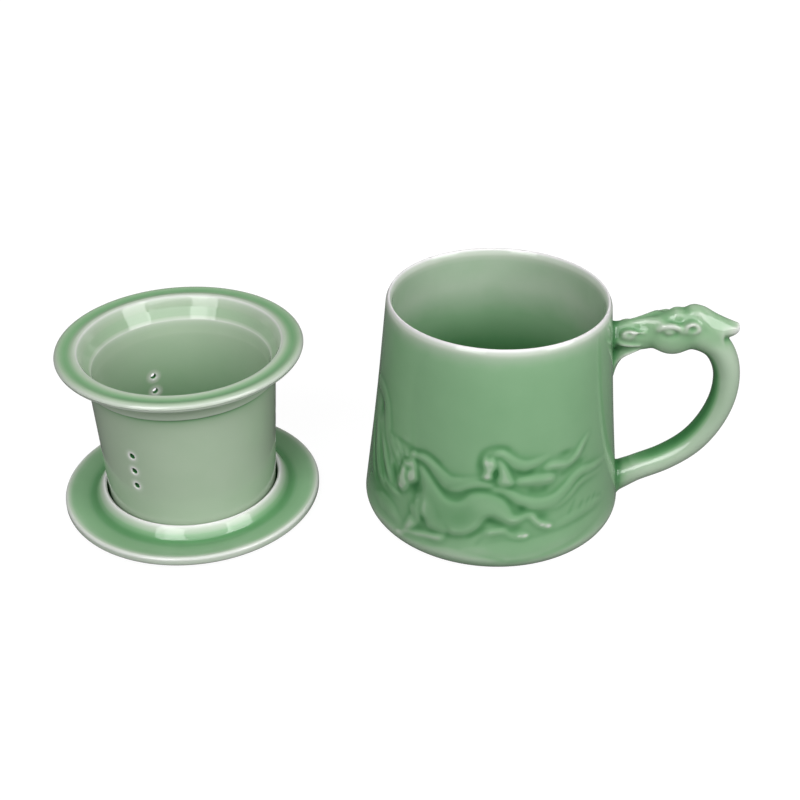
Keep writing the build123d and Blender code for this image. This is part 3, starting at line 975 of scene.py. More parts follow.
@dataclass(frozen=True)
class Touch:
    """Stroke of the modelling tool: a soft ridge, or a furrow where its amount is negative."""
    line: Sequence[Point]
    width: float
    amount: float


@dataclass(frozen=True)
class Dab:
    """Press of a fingertip: a soft oval bump, or a hollow where its amount is negative.

    Attributes:
        centre: distance along the wall and height.
        size: half axes.
        amount: how far it stands out.
        tilt: degrees by which its first axis rises.
        drawn_off_and_painted_light: thickness of glaze drawn off it, which pales it; on the heads it also
            paints highlight, and a negative amount adds glaze that paints shade.
    """
    centre: Point
    size: Point
    amount: float
    tilt: float = 0.0
    drawn_off_and_painted_light: float = 0.0


Form = Ribbon | Mass | Touch | Dab


class Relief:
    """Low relief on a stretch of wall, held as heights on a grid of distance along the wall and height.

    Attributes:
        proud_thin: glaze that the proudest forms lose.
        proud_from, proud_over: height from which, and over which, they lose it.
        gathered: glaze that gathers on the ground among the figures.
        least: thickness towards which thin glaze levels off.
    """
    proud_thin: float = 0.16
    proud_from: float = 0.42
    proud_over: float = 0.36
    gathered: float = 0.11
    least: float = 0.355

    def __init__(self, low: Point, high: Point, pitch: float) -> None:
        """Prepares a plain stretch of wall.

        Args:
            low: lowest distance and height.
            high: highest distance and height.
            pitch: spacing of the grid.
        """
        self.low, self.pitch = np.array(low), pitch
        self.across, self.up = (np.arange(low[i], high[i], pitch) for i in (0, 1))
        self.height = np.zeros((len(self.across), len(self.up)))
        self.drawn_off_and_painted_light = np.zeros_like(self.height)

    def near(self, path: np.ndarray, margin: float) -> tuple[tuple[slice, slice], np.ndarray]:
        """Finds the cells round a line.

        Args:
            path: the line's points.
            margin: how far beyond it to go.
        Returns:
            The slices of the grid, and each cell's place.
        """
        (left, bottom), (right, top) = path.min(axis=0) - margin, path.max(axis=0) + margin
        where = (slice(*np.searchsorted(self.across, (left, right))),
                 slice(*np.searchsorted(self.up, (bottom, top))))
        cells = np.stack(np.meshgrid(self.across[where[0]], self.up[where[1]], indexing="ij"), axis=-1)
        return where, cells

    @staticmethod
    def measure(cells: np.ndarray, path: np.ndarray) -> tuple[np.ndarray, np.ndarray, np.ndarray]:
        """Measures each cell against a line.

        Args:
            cells: the cells' places.
            path: the line's points.
        Returns:
            Distance from the line, share of its length at the nearest point, and side of it, as -1 or 1.
        """
        runs = np.diff(path, axis=0)
        lengths = np.hypot(*runs.T)
        starts = np.concatenate([[0], np.cumsum(lengths)])
        best = np.full(cells.shape[:2], np.inf)
        along, side = np.zeros_like(best), np.ones_like(best)
        for start, run, length, begun in zip(path, runs, lengths, starts):
            way, off = run / length, cells - start
            reach = np.clip(off @ way, 0, length)
            distance = np.hypot(*np.moveaxis(off - reach[..., None] * way, -1, 0))
            nearer = distance < best
            best = np.where(nearer, distance, best)
            along = np.where(nearer, (begun + reach) / starts[-1], along)
            side = np.where(nearer, np.sign(way[0] * off[..., 1] - way[1] * off[..., 0]), side)
        return best, along, side

    def lay(self, where: tuple[slice, slice], depth: np.ndarray, face: np.ndarray, furrow: float) -> None:
        """Lays a form over what is there, with a furrow beside it.

        Args:
            where: cells that it touches.
            depth: distance inside its edge, negative outside.
            face: its height.
            furrow: how deeply it presses into what lies beside it.
        """
        under = self.height[where]
        pressed = furrow * np.exp(-np.clip(-depth, 0, None) ** 2)
        under = under * (1 - pressed) - 0.12 * pressed
        self.height[where] = np.where(depth > 0, np.maximum(face, 0.35 * under + 0.65 * face), under)

    def add(self, form: Form) -> None:
        """Models one form.

        Args:
            form: what to model.
        """
        makers = {Ribbon: self.add_ribbon, Mass: self.add_mass, Touch: self.add_touch, Dab: self.add_dab}
        makers[type(form)](form)

    def add_ribbon(self, form: Ribbon) -> None:
        """Models a ribbon, combed into strands and sunk into the wall at its ends.

        Args:
            form: the ribbon.
        """
        path = smooth_path(form.line)
        where, cells = self.near(path, max(form.widths) + 3)
        distance, along, side = self.measure(cells, path)
        width = np.interp(along, np.linspace(0, 1, len(form.widths)), form.widths)
        face = form.height * quarter_round((1 - distance / width) * form.crisp)
        if form.strands > 1:
            across = np.clip(0.5 + 0.5 * side * distance / width, 0, 1)
            face *= 0.6 + 0.4 * np.abs(np.sin(across * math.pi * form.strands)) ** 0.7
        start, end = form.fade
        risen = smooth_step(0.25 + along / start) * smooth_step(0.25 + (1 - along) / end)
        self.lay(where, width - distance, face * risen, form.furrow * risen)

    def add_mass(self, form: Mass) -> None:
        """Models a closed form, counting crossings of its outline to tell inside from outside.

        Args:
            form: the closed form.
        """
        loop = smooth_path(form.outline, closed=True)
        where, cells = self.near(loop, 4)
        distance, _, _ = self.measure(cells, loop)
        inside = np.zeros(cells.shape[:2], bool)
        for (x1, y1), (x2, y2) in zip(loop, loop[1:]):
            if y1 != y2:
                crossing = x1 + (x2 - x1) * (cells[..., 1] - y1) / (y2 - y1)
                inside ^= ((y1 > cells[..., 1]) != (y2 > cells[..., 1])) & (cells[..., 0] < crossing)
        depth = np.where(inside, distance, -distance)
        face = 0.58 * smooth_step(depth / form.edge) + 0.42 * quarter_round(depth / form.middle)
        self.lay(where, depth, form.height * face, form.furrow)

    def add_touch(self, form: Touch) -> None:
        """Models a ridge or furrow that fades at its ends.

        Args:
            form: the stroke.
        """
        path = smooth_path(form.line)
        where, cells = self.near(path, 4 * form.width)
        distance, along, _ = self.measure(cells, path)
        fade = 0.3 + 0.7 * smooth_step(6 * np.minimum(along, 1 - along))
        self.height[where] += form.amount * fade * np.exp(-(distance / form.width) ** 2)

    def add_dab(self, form: Dab) -> None:
        """Models an oval bump or hollow.

        Args:
            form: the dab.
        """
        across, up = np.meshgrid(self.across - form.centre[0], self.up - form.centre[1], indexing="ij")
        cosine, sine = math.cos(math.radians(form.tilt)), math.sin(math.radians(form.tilt))
        u, v = (across * cosine + up * sine) / form.size[0], (up * cosine - across * sine) / form.size[1]
        press = np.exp(-u * u - v * v)
        self.height += form.amount * press
        self.drawn_off_and_painted_light += form.drawn_off_and_painted_light * press

    def finish(self, sink: float, spread: float, soften: float, filled: float) -> None:
        """Sinks the ground round the figures, softens every edge and glazes the whole.

        Args:
            sink: how far the ground lies below the plain wall.
            spread: how far round the figures it is sunk.
            soften: reach over which edges are softened.
            filled: share of the glaze's uneven thickness that shows on its surface.
        """
        crowd = blurred(np.clip(self.height * 2.2, 0, 1), spread / self.pitch)
        clay = blurred(self.height - sink * crowd, soften / self.pitch)
        proud = smooth_step((clay - self.proud_from) / self.proud_over)
        glaze = CARVED.thickness(clay, self.pitch) + self.gathered * crowd - self.proud_thin * proud
        # glaze drawn off the hooves and heads, with painted highlight on the heads and painted shade where
        # the amount is negative
        self.glaze = -smooth_min(-glaze, -self.least, 0.12) - self.drawn_off_and_painted_light
        self.height = clay + filled * (self.glaze - CARVED.laid)

    def read(self, grid: np.ndarray, across: np.ndarray, up: np.ndarray) -> np.ndarray:
        """Reads one of the relief's grids at places on the wall."""
        return sampled(grid, (np.stack([across, up], axis=1) - self.low) / self.pitch)


def ground() -> list[Form]:
    """Soft swells of ground and tufts of grass under the herd, and two broad patches of thicker glaze at
    its left end that paint shade.

    Returns:
        The forms, in the order in which they are modelled.
    """
    swells = [
        Ribbon([(2, 9.6), (14, 10.4), (26, 10.8), (38, 12.0), (47, 13.4), (58, 14.6)],
               (1.5, 4.2, 4.0, 3.6, 1.5), 0.42),
        Ribbon([(34, 17.8), (44, 19.2), (52, 20.0), (62, 19.6)], (1.2, 2.4, 2.2, 1.2), 0.30),
        Ribbon([(-42, 13.4), (-35, 14.6), (-30, 14.2), (-24, 11.4)], (1.5, 3.6, 3.4, 1.2), 0.55),
        Ribbon([(-12, 6.8), (-4, 7.6), (6, 7.0), (16, 6.4)], (1.0, 2.2, 2.0, 1.0), 0.20)]
    blades = [[(41.2, 20.2), (42.6, 23), (44.8, 26)], [(49.8, 19.4), (50.6, 21.8), (52.4, 23.8)],
              [(52.2, 20), (53.6, 21.4), (55.8, 24)], [(55.8, 21.6), (58.4, 21), (60.8, 19.4)],
              [(6.4, 12.4), (7.6, 14.4), (9.2, 15.8)], [(46.4, 20.2), (47.2, 22.4), (48.6, 24.2)]]
    soft = [Ribbon(s.line, s.widths, s.height, crisp=0.45, fade=(0.4, 0.4), furrow=0.0) for s in swells]
    return soft + [Touch(blade, 0.5, -0.18) for blade in blades] + [
        # painted shade: broad patches of thicker, darker glaze at the herd's left end
        Dab((-48, 22), (11, 12), 0.0, drawn_off_and_painted_light=-0.22),
        Dab((-33, 28), (4, 8), 0.0, drawn_off_and_painted_light=-0.10)]


def flying_hair() -> list[Form]:
    """Manes and tails of horses ahead, streaming down at the left of the herd.

    Returns:
        The forms, in the order in which they are modelled.
    """
    locks = [
        Ribbon([(-60, 55), (-51, 57.4), (-44.6, 57), (-40.4, 53.6), (-38.4, 48.4), (-36.6, 43),
                (-33.6, 37.6)], (1.0, 2.6, 3.2, 3.2, 2.6, 1.0), 0.42, strands=2),
        Ribbon([(-59, 43), (-54.6, 37), (-51, 30), (-47.4, 23.6), (-42, 18.6)],
               (1.0, 2.4, 2.8, 2.4, 0.8), 0.34, strands=2),
        Ribbon([(-49, 45), (-46.6, 38), (-44.8, 32), (-41.8, 26.4), (-37, 22.4), (-31, 20.6)],
               (0.8, 2.2, 2.6, 2.2, 0.7), 0.36, strands=2),
        Ribbon([(-41.6, 41), (-38.8, 36.4), (-36.2, 32), (-33.4, 27.8), (-30.6, 25)],
               (0.6, 1.5, 1.9, 1.4, 0.5), 0.62),
        Ribbon([(-37, 27), (-34, 24), (-30, 22.6), (-25, 22.6)], (0.6, 1.2, 1.2, 0.5), 0.30),
        Ribbon([(-35.4, 44.4), (-32.6, 41.4), (-30, 38.6), (-28.4, 35.8)],
               (0.8, 2.0, 2.0, 0.7), 0.44, strands=2),
        Ribbon([(-31.6, 44), (-28.8, 42), (-26.6, 39.4)], (0.6, 1.4, 0.6), 0.38)]
    soft = [Ribbon(k.line, k.widths, k.height, k.strands, crisp=0.8, fade=(0.25, 0.35),
                   furrow=0.3) for k in locks]
    return soft + [
        Dab((-45, 49.4), (2.8, 4.4), -0.55, tilt=-20),
        Dab((-30.2, 31.4), (1.6, 2.8), -0.30, tilt=10),
        Touch([(-41, 41), (-39.4, 35.6), (-37.4, 30.4), (-34, 25.6)], 0.7, -0.26)]


def second_horse() -> list[Form]:
    """Horse behind the lead one: its head, neck and mane, and two lobes of its streaming tail."""
    return [
        Mass([(30.4, 42.8), (32.4, 44.8), (35.4, 45), (38.4, 44), (41, 43.2), (43.6, 44.2), (46, 46.8),
              (49, 49.2), (53, 50.6), (50, 46.8), (47.4, 43.4), (44, 41.3), (40.4, 40.7), (36, 41),
              (32, 41.2)], 0.66, edge=2.0, middle=2.6, furrow=0.4),
        Mass([(19, 39.4), (24, 40.8), (29, 41.2), (33.4, 40.9), (35.6, 38.8), (34.8, 36.5), (31.6, 35.8),
              (26, 36.4), (20, 37.6)], 0.72, edge=2.2, middle=3.0, furrow=0.4),
        Ribbon([(11.6, 49.2), (14.6, 50.2), (17.4, 48), (20.2, 46), (24, 44.9), (28, 45.8), (33, 47.6)],
               (0.7, 1.6, 2.1, 2.0, 1.4, 0.5), 0.52, strands=2, fade=(0.08, 0.6)),
        Mass([(12.6, 48.4), (14.8, 47.4), (16.9, 44.9), (18.4, 41.6), (19.6, 38.2), (17, 36.6), (14, 36.8),
              (13.1, 39), (13.4, 42), (12.6, 44.6)], 0.92, middle=3.2),
        Mass([(8.6, 49.2), (9.8, 47.8), (11.2, 49.2), (12.2, 47.6), (13.1, 45.6), (12.5, 43.6),
              (11.6, 42.2), (11.5, 40.6), (10.4, 39.4), (8.6, 39.4), (7.6, 40.7), (8.1, 42.6), (8.1, 44.4),
              (7.7, 46.2)], 1.02, edge=1.1, middle=2.2),
        Dab((10.4, 45.2), (0.8, 0.7), -0.52),
        # pale dabs on the head: partly glaze drawn off raised features, partly painted highlight
        Dab((9.3, 40.8), (1.2, 0.9), 0.14, drawn_off_and_painted_light=0.09),
        Dab((12.5, 42.4), (0.7, 1.6), -0.42),
        Dab((8.8, 46.6), (0.8, 1.2), 0.10, drawn_off_and_painted_light=0.07),
        Touch([(9.9, 43.6), (9.3, 42.2)], 0.5, -0.26),
        Touch([(6.4, 41.6), (6.2, 46), (7.4, 50.2), (11, 52.4), (15.4, 52.6), (19.4, 50.4)], 1.3, -0.34),
        Touch([(19.6, 42.8), (23, 41.8), (27.4, 42.6)], 1.1, -0.30),
        Dab((40.2, 46.6), (3.4, 1.5), -0.4),
        Touch([(36.6, 38.8), (40, 38.6), (45, 40.2), (50, 40.8)], 1.3, -0.28)]


def lead_tail_and_mane() -> list[Form]:
    """Tail and mane of the lead horse, in long waves."""
    return [
        Ribbon([(26, 27.6), (31, 26.7), (36.4, 26.8), (41.6, 29), (46.4, 32), (52, 32.8), (60, 31.6)],
               (0.8, 1.3, 1.5, 1.5, 0.7), 0.40, crisp=1.0, fade=(0.3, 0.5), furrow=0.3),
        Ribbon([(10, 35.4), (15, 35.4), (18.8, 33.4), (22.4, 31), (26.6, 29.2), (31, 28.6), (35.6, 29.4),
                (40, 32), (44, 34.9), (48, 36.2), (53, 35.6), (64, 34.6)],
               (1.1, 1.7, 2.2, 2.5, 2.2, 1.9, 1.4, 0.6), 0.62, strands=2, crisp=0.85, fade=(0.06, 0.3)),
        Ribbon([(-19.8, 42.2), (-15.6, 42.6), (-11.8, 41), (-8.6, 38.2), (-4.8, 36), (-0.6, 36.4),
                (3.4, 38.2), (7.4, 40.2)],
               (0.8, 1.7, 2.2, 3.0, 3.2, 2.7, 1.6, 0.6), 0.64, strands=3, crisp=0.85, fade=(0.05, 0.35)),
        Ribbon([(-5, 33.9), (-1.4, 34.4), (2, 36.2), (6.5, 37.4), (13, 37.2)],
               (0.8, 1.2, 1.4, 1.3, 0.5), 0.56, strands=2, crisp=1.1),
        Touch([(-31, 45), (-25, 44.8), (-20, 44.4), (-15, 45.2), (-10.4, 43.6), (-6.6, 41)], 1.2, -0.34),
        Touch([(-13, 38.4), (-9.4, 35), (-6, 32), (-2, 31.6), (1.6, 33), (5.4, 35.6), (11.4, 36)],
              1.0, -0.14),
        Touch([(24.4, 35), (28.6, 33.8), (33, 34.4)], 1.3, -0.34),
        Dab((22.6, 27.6), (2.2, 2.0), -0.42, tilt=-35),
        Dab((30.4, 23.4), (2.6, 1.4), -0.34, tilt=-15)]


def lead_legs() -> list[Form]:
    """Legs of the lead horse at full stretch."""
    solid = (0.02, 0.02)
    return [
        Mass([(9.4, 17.4), (10.6, 19.3), (13.4, 19.8), (16.4, 20.0), (18.2, 18.2), (20.2, 17.0),
              (22.2, 17.8), (24.8, 17.2), (24.8, 15.4), (21.6, 15.0), (19, 16.0), (16.8, 17.7),
              (13.6, 17.4), (11, 16.8)], 0.60, edge=1.3, middle=2.0, furrow=0.35),
        Ribbon([(24.4, 24.4), (26.2, 24.2), (27.6, 22.2), (29.4, 20.4), (31.6, 19.2), (33.6, 18.4)],
               (1.2, 0.9, 0.8, 0.9, 1.1, 0.8), 0.72, fade=solid, furrow=0.3),
        Ribbon([(-16.8, 18), (-18.8, 14.6), (-20.3, 12), (-21.4, 10.2)],
               (2.4, 2.0, 1.5, 1.0), 0.66, fade=solid),
        Mass([(-26, 6.6), (-23.4, 8.2), (-21.8, 10.4), (-18, 11.3), (-13.6, 12.6), (-9.6, 14), (-6.4, 15.4),
              (-4.2, 15.2), (-5.2, 12.4), (-7.4, 10.8), (-12, 10.4), (-16.6, 9.6), (-20.8, 8.8),
              (-23.6, 6.6)], 0.66, edge=1.5, middle=2.4, furrow=0.4),
        Dab((33.0, 18.7), (1.3, 0.7), 0.05, tilt=-25, drawn_off_and_painted_light=0.22),
        Dab((30.2, 19.9), (0.8, 0.5), 0.0, drawn_off_and_painted_light=0.14),
        Dab((24.2, 16.4), (1.2, 0.7), 0.05, drawn_off_and_painted_light=0.24),
        Dab((21.8, 16.6), (0.7, 0.5), 0.0, drawn_off_and_painted_light=0.14),
        Dab((-24.6, 7.6), (1.4, 0.8), 0.0, tilt=30, drawn_off_and_painted_light=0.12),
        Dab((-15, 13.9), (2.4, 1.0), -0.34, tilt=22),
        Dab((12.6, 22.4), (3.6, 1.2), -0.34, tilt=-16),
        Dab((20.4, 19.5), (2.6, 0.9), -0.30, tilt=12),
        Touch([(3, 15.2), (6.6, 17.8), (9, 20.8)], 0.9, -0.26)]


def lead_body() -> list[Form]:
    """Neck, barrel and quarters of the lead horse, with the play of its muscles."""
    return [
        Mass([(-17, 31.6), (-19.4, 34.4), (-20, 38.6), (-18.6, 40.2), (-15, 39.4), (-11.6, 36.8),
              (-8.4, 33.4), (-5.4, 30.6), (-1.8, 29.9), (1, 31.2), (4, 33.8), (8.2, 34.9), (12.6, 34.4),
              (16.2, 32.4), (18.4, 29), (19.8, 26), (22.2, 25), (24.4, 25.6), (25.2, 24.4), (23.2, 22.8),
              (20.8, 21.4), (17.8, 21.2), (14, 23), (10.6, 23.8), (7, 19.4), (3.6, 16.5), (0, 15.2),
              (-4, 14.6), (-8.4, 14.4), (-12, 15.2), (-14, 18.2), (-15.6, 15.6), (-17.8, 16.2),
              (-19.6, 18.6), (-20, 21.2), (-18.2, 24.4), (-16.8, 27.6)], 0.88, edge=2.3, furrow=0.4),
        Dab((10, 28.5), (6.5, 5.2), 0.18),
        Dab((-10.5, 24), (4.5, 7), 0.14, tilt=10),
        Dab((1, 22.5), (4.6, 6), -0.16),
        Dab((20.6, 23.4), (2.8, 1.0), 0.12, tilt=18),
        Touch([(-3.6, 17.4), (0.6, 17.1), (4.4, 19), (8.2, 22.6)], 1.4, 0.20),
        Touch([(-3.4, 14.6), (-3.9, 16.6), (-4.8, 19)], 0.7, -0.26),
        Touch([(-17.8, 23.6), (-18, 20.6), (-16.8, 16.8)], 0.55, -0.30),
        Touch([(-15.4, 31), (-15.4, 26), (-15.7, 21), (-14.4, 17.2)], 0.6, -0.32),
        Touch([(-18.9, 22.6), (-19, 19.8), (-17.8, 17)], 0.5, 0.12),
        Touch([(-16.6, 26), (-16.8, 21.4), (-15.6, 17)], 0.5, 0.12),
        Touch([(-13.6, 27), (-13.6, 22), (-11.8, 16.8)], 1.0, 0.16),
        Touch([(-16.4, 36), (-15.2, 32.6), (-15, 29)], 0.7, -0.26),
        Touch([(-13.6, 31), (-9, 25), (-6.4, 19)], 1.8, -0.10)]


def lead_head() -> list[Form]:
    """Head of the lead horse, tucked to its chest, with ears, eye, cheek and nostril."""
    sharp = (0.02, 0.02)
    return [
        Ribbon([(-23.2, 39.2), (-23.6, 40.8), (-24.6, 42.0)], (1.1, 0.9, 0.4), 0.7, fade=sharp, furrow=0.2),
        Ribbon([(-21.6, 39), (-20.8, 41.2), (-19.8, 43.4)], (1.8, 1.5, 0.5), 0.95, fade=sharp, furrow=0.2),
        Mass([(-20.2, 40.8), (-23, 40), (-24.8, 38), (-26.3, 35), (-26.9, 31.6), (-27.8, 29), (-27.4, 26.8),
              (-25.6, 25.3), (-23.6, 25.6), (-22, 27.2), (-20.9, 29.4), (-19, 31), (-17.4, 32.8),
              (-17.4, 36), (-18.4, 39.2)], 1.12, edge=1.3, middle=3.6),
        # pale dabs on the head: partly glaze drawn off raised features, partly painted highlight
        Dab((-20.4, 33.8), (2.0, 2.4), 0.12, tilt=20, drawn_off_and_painted_light=0.03),
        Dab((-23.4, 36.2), (1.0, 0.8), -0.62),
        Dab((-24.6, 37.6), (1.2, 0.7), 0.22, tilt=-30, drawn_off_and_painted_light=0.08),
        Dab((-26.3, 28.6), (0.8, 0.7), -0.62),
        Dab((-25.6, 27.0), (1.0, 0.7), 0.16, drawn_off_and_painted_light=0.09),
        Touch([(-21.8, 29.6), (-22.9, 32.6), (-22.2, 35.4), (-20.2, 37.4)], 0.75, -0.52),
        Touch([(-26.4, 26.2), (-24.6, 27.3), (-22.8, 28.4)], 0.5, -0.46),
        Touch([(-25.0, 35.4), (-25.4, 32.4), (-25.9, 29.8)], 0.7, 0.14),
        Touch([(-21.6, 38.6), (-22.9, 39.4), (-24.2, 39.0)], 0.6, -0.36),
        Dab((-18.7, 28.4), (1.5, 2.6), -0.46, tilt=-18),
        Dab((-29.6, 29), (1.4, 3.2), -0.34, tilt=8),
        Dab((-26.8, 24), (2.2, 0.9), -0.26, tilt=-12)]


# ---------------------------------------------------------------- mug body

@dataclass
class MugBody:
    """Wide-based mug, thin at the rim, with a herd in relief on either side.

    Attributes:
        finish: its glaze.
        herd_azimuths: direction in degrees of the middle of each herd.
        wall_radius: radius at which distances along the wall are measured.
        relief_top: height at which the relief ends.
        relief_step: spacing of the rings of points under it.
        fine_sides, plain_sides: number of points in a ring with relief, and in any other.
        highest: how far the relief may stand out.
    """
    finish: Glaze
    height: float = 89.4
    rim_radius: float = 41.0
    rim_wall: float = 2.3
    waist_radius: float = 44.7
    waist_height: float = 46.0
    waist_wall: float = 3.4
    base_radius: float = 49.0
    base_corner: float = 8.0
    base_round: float = 6.0
    base_wall: float = 4.6
    foot_outer: float = 38.2
    foot_inner: float = 34.0
    foot_height: float = 0.5
    underside: float = 1.8
    floor: float = 5.6
    floor_corner: float = 12.4
    herd_azimuths: tuple[float, ...] = (-108.0, 72.0)
    wall_radius: float = 47.0
    relief_top: float = 66.0
    relief_step: float = 0.56
    fine_sides: int = 540
    plain_sides: int = 180
    highest: float = 1.18

    def outline(self) -> Outline:
        """Half section, from the middle of the underside to the middle of the floor inside.

        Returns:
            The outline.
        """
        rise = self.waist_height - self.base_corner - self.foot_height
        lean = (self.base_radius - self.waist_radius) / rise
        foot_of_wall = self.base_radius + lean * self.base_corner
        inner_base = self.base_radius - self.base_wall
        inner_waist = self.waist_radius - self.waist_wall
        inner_lean = (inner_base - inner_waist) / (self.waist_height - self.floor - self.floor_corner)
        return Outline([
            Corner(0, self.underside), Corner(self.foot_inner - 1.8, self.underside, 1.2),
            Corner(self.foot_inner, 0, 0.5), Corner(self.foot_outer, 0, 0.5),
            Corner(self.foot_outer + 0.6, self.foot_height, 0.3),
            Corner(foot_of_wall, self.foot_height, self.base_round, 0.5),
            Corner(self.waist_radius, self.waist_height, 1400.0, self.relief_step),
            Corner(self.rim_radius, self.height - 1.7, 3.0, self.relief_step),
            Corner(self.rim_radius - 0.85, self.height, 0.4),
            Corner(self.rim_radius - 1.4, self.height, 0.4),
            Corner(self.rim_radius - self.rim_wall, self.height - 1.9, 4.0),
            Corner(inner_waist, self.waist_height, 900.0, 2.0),
            Corner(inner_base + inner_lean * self.floor_corner, self.floor, self.floor_corner, 2.0),
            Corner(0, self.floor, step=2.0)])

    def relief(self) -> Relief:
        """Models one herd.

        Returns:
            The finished relief.
        """
        stretch = Relief((-66, 0), (74, self.relief_top), 0.25)
        for group in (ground, flying_hair, second_horse, lead_tail_and_mane, lead_legs, lead_body,
                      lead_head):
            for form in group():
                stretch.add(form)
        stretch.finish(sink=0.46, spread=3.8, soften=0.74, filled=0.45)
        return stretch

    def rings(self, path: np.ndarray) -> list[np.ndarray]:
        """Numbers the points ring by ring: fine rings where the relief is, plain ones elsewhere.

        Args:
            path: the outline's points.
        Returns:
            For each outline point its ring's point numbers.
        """
        outer = np.arange(len(path)) < int(np.argmax(path[:, 1]))
        rings, used = [], 0
        for (radius, height), outside in zip(path, outer):
            fine = outside and radius > self.foot_outer + 2 and 0.6 < height < self.relief_top - 1
            count = 1 if radius < 1e-6 else self.fine_sides if fine else self.plain_sides
            rings.append(np.arange(used, used + count))
            used += count
        return rings

    def run_down(self, path: np.ndarray) -> np.ndarray:
        """Glaze that ran down while molten, less under the rim and more towards the floor inside, with
        painted light and shade: inside, thinner glaze near the top paints light and thicker glaze deeper
        down paints shade, and thinner glaze round the base paints light thrown up by the floor.

        Args:
            path: the outline's points.
        Returns:
            Change of thickness in millimetres at each point.
        """
        height = path[:, 1]
        inside = np.arange(len(path)) > np.argmax(height)
        below_rim = 0.05 - 0.19 * np.exp((height - self.height) / 5.5)
        # painted light: thinner, paler glaze round the foot of the wall stands for light thrown up by the
        # floor
        painted_floor_bounce_light = -0.08 * np.exp(-((height - 9) / 6) ** 2)
        # partly glaze run down to the floor inside, partly painted light and shade: paler near the top
        # inside, darker deeper down
        inside_run_and_painted_light = np.interp(height, (12, 34, 46, 60, 74, 88), (0.18, 0.52, 0.30, 0.01, -0.12, -0.09))
        return np.where(inside, inside_run_and_painted_light, below_rim + painted_floor_bounce_light)

    @staticmethod
    def faces(rings: list[np.ndarray]) -> list[tuple[int, ...]]:
        """Joins each ring to the next with quads, with wider faces where a fine ring meets a plain one.

        Args:
            rings: point numbers of each ring.
        Returns:
            The faces, turned outwards.
        """
        made = []
        for low, high in zip(rings, rings[1:]):
            count = min(len(ring) for ring in (low, high) if len(ring) > 1)
            for i in range(count):
                a, b = (ring.take(range(i * (len(ring) // count), (i + 1) * (len(ring) // count) + 1),
                                  mode="wrap")
                        for ring in (low, high))
                made.append(tuple(int(n) for n in (*a, *reversed(b))))
        return made

    def build(self, handle: "HorseHandle") -> bpy.types.Object:
        """Builds the mug with its relief, and glaze pooled where the handle is luted on.

        Args:
            handle: the sculpted handle.
        Returns:
            The piece.
        """
        outline = self.outline()
        path = outline.points()
        rings = self.rings(path)
        counts = [len(ring) for ring in rings]
        azimuth = np.concatenate([np.arange(n) / n * WHOLE_TURN for n in counts])
        radius, up = np.repeat(path, counts, axis=0).T
        thick = np.repeat(outline.glaze(path) + self.run_down(path), counts)
        way = np.gradient(path, axis=0)
        normal = np.stack([way[:, 1], -way[:, 0]], axis=1) / np.hypot(*way.T)[:, None]
        outward = np.repeat(normal, counts, axis=0)
        carved = np.repeat(np.array([n == self.fine_sides for n in counts]), counts)
        raised = np.zeros(len(radius))
        stretch = self.relief()
        start, end = stretch.low[0] + 1, stretch.across[-1] - 1
        for middle in self.herd_azimuths:
            distance = np.angle(np.exp(1j * (azimuth - math.radians(middle)))) * self.wall_radius
            here = carved & (distance > start) & (distance < end)
            rest = np.minimum(distance - start, end - distance)[here]
            fade = smooth_step(rest / 6.0) * smooth_step((self.relief_top - 1.5 - up[here]) / 4.0)
            raised[here] += stretch.read(stretch.height, distance[here], up[here]) * fade
            thick[here] += (stretch.read(stretch.glaze, distance[here], up[here]) - FIRING.laid) * fade
        raised = np.minimum(raised, self.highest) * smooth_step((up - 1.0) / 5.0)
        radius = radius + outward[:, 0] * raised
        up = up + outward[:, 1] * raised
        points = np.stack([radius * np.cos(azimuth), radius * np.sin(azimuth), up], axis=1)
        thick = handle.pooled_beside(points, thick)
        bare = (up < 0.25) & (radius > self.foot_inner - 1) & (radius < self.foot_outer + 1)
        values = {"glaze": thick, "bare": bare.astype(float)}
        piece = make_piece("mug_body_glazed", points, self.faces(rings), values)
        piece.data.materials.append(self.finish.material())
        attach(piece, "mug")
        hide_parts("mug_body")
        return piece


# ---------------------------------------------------------------- handle

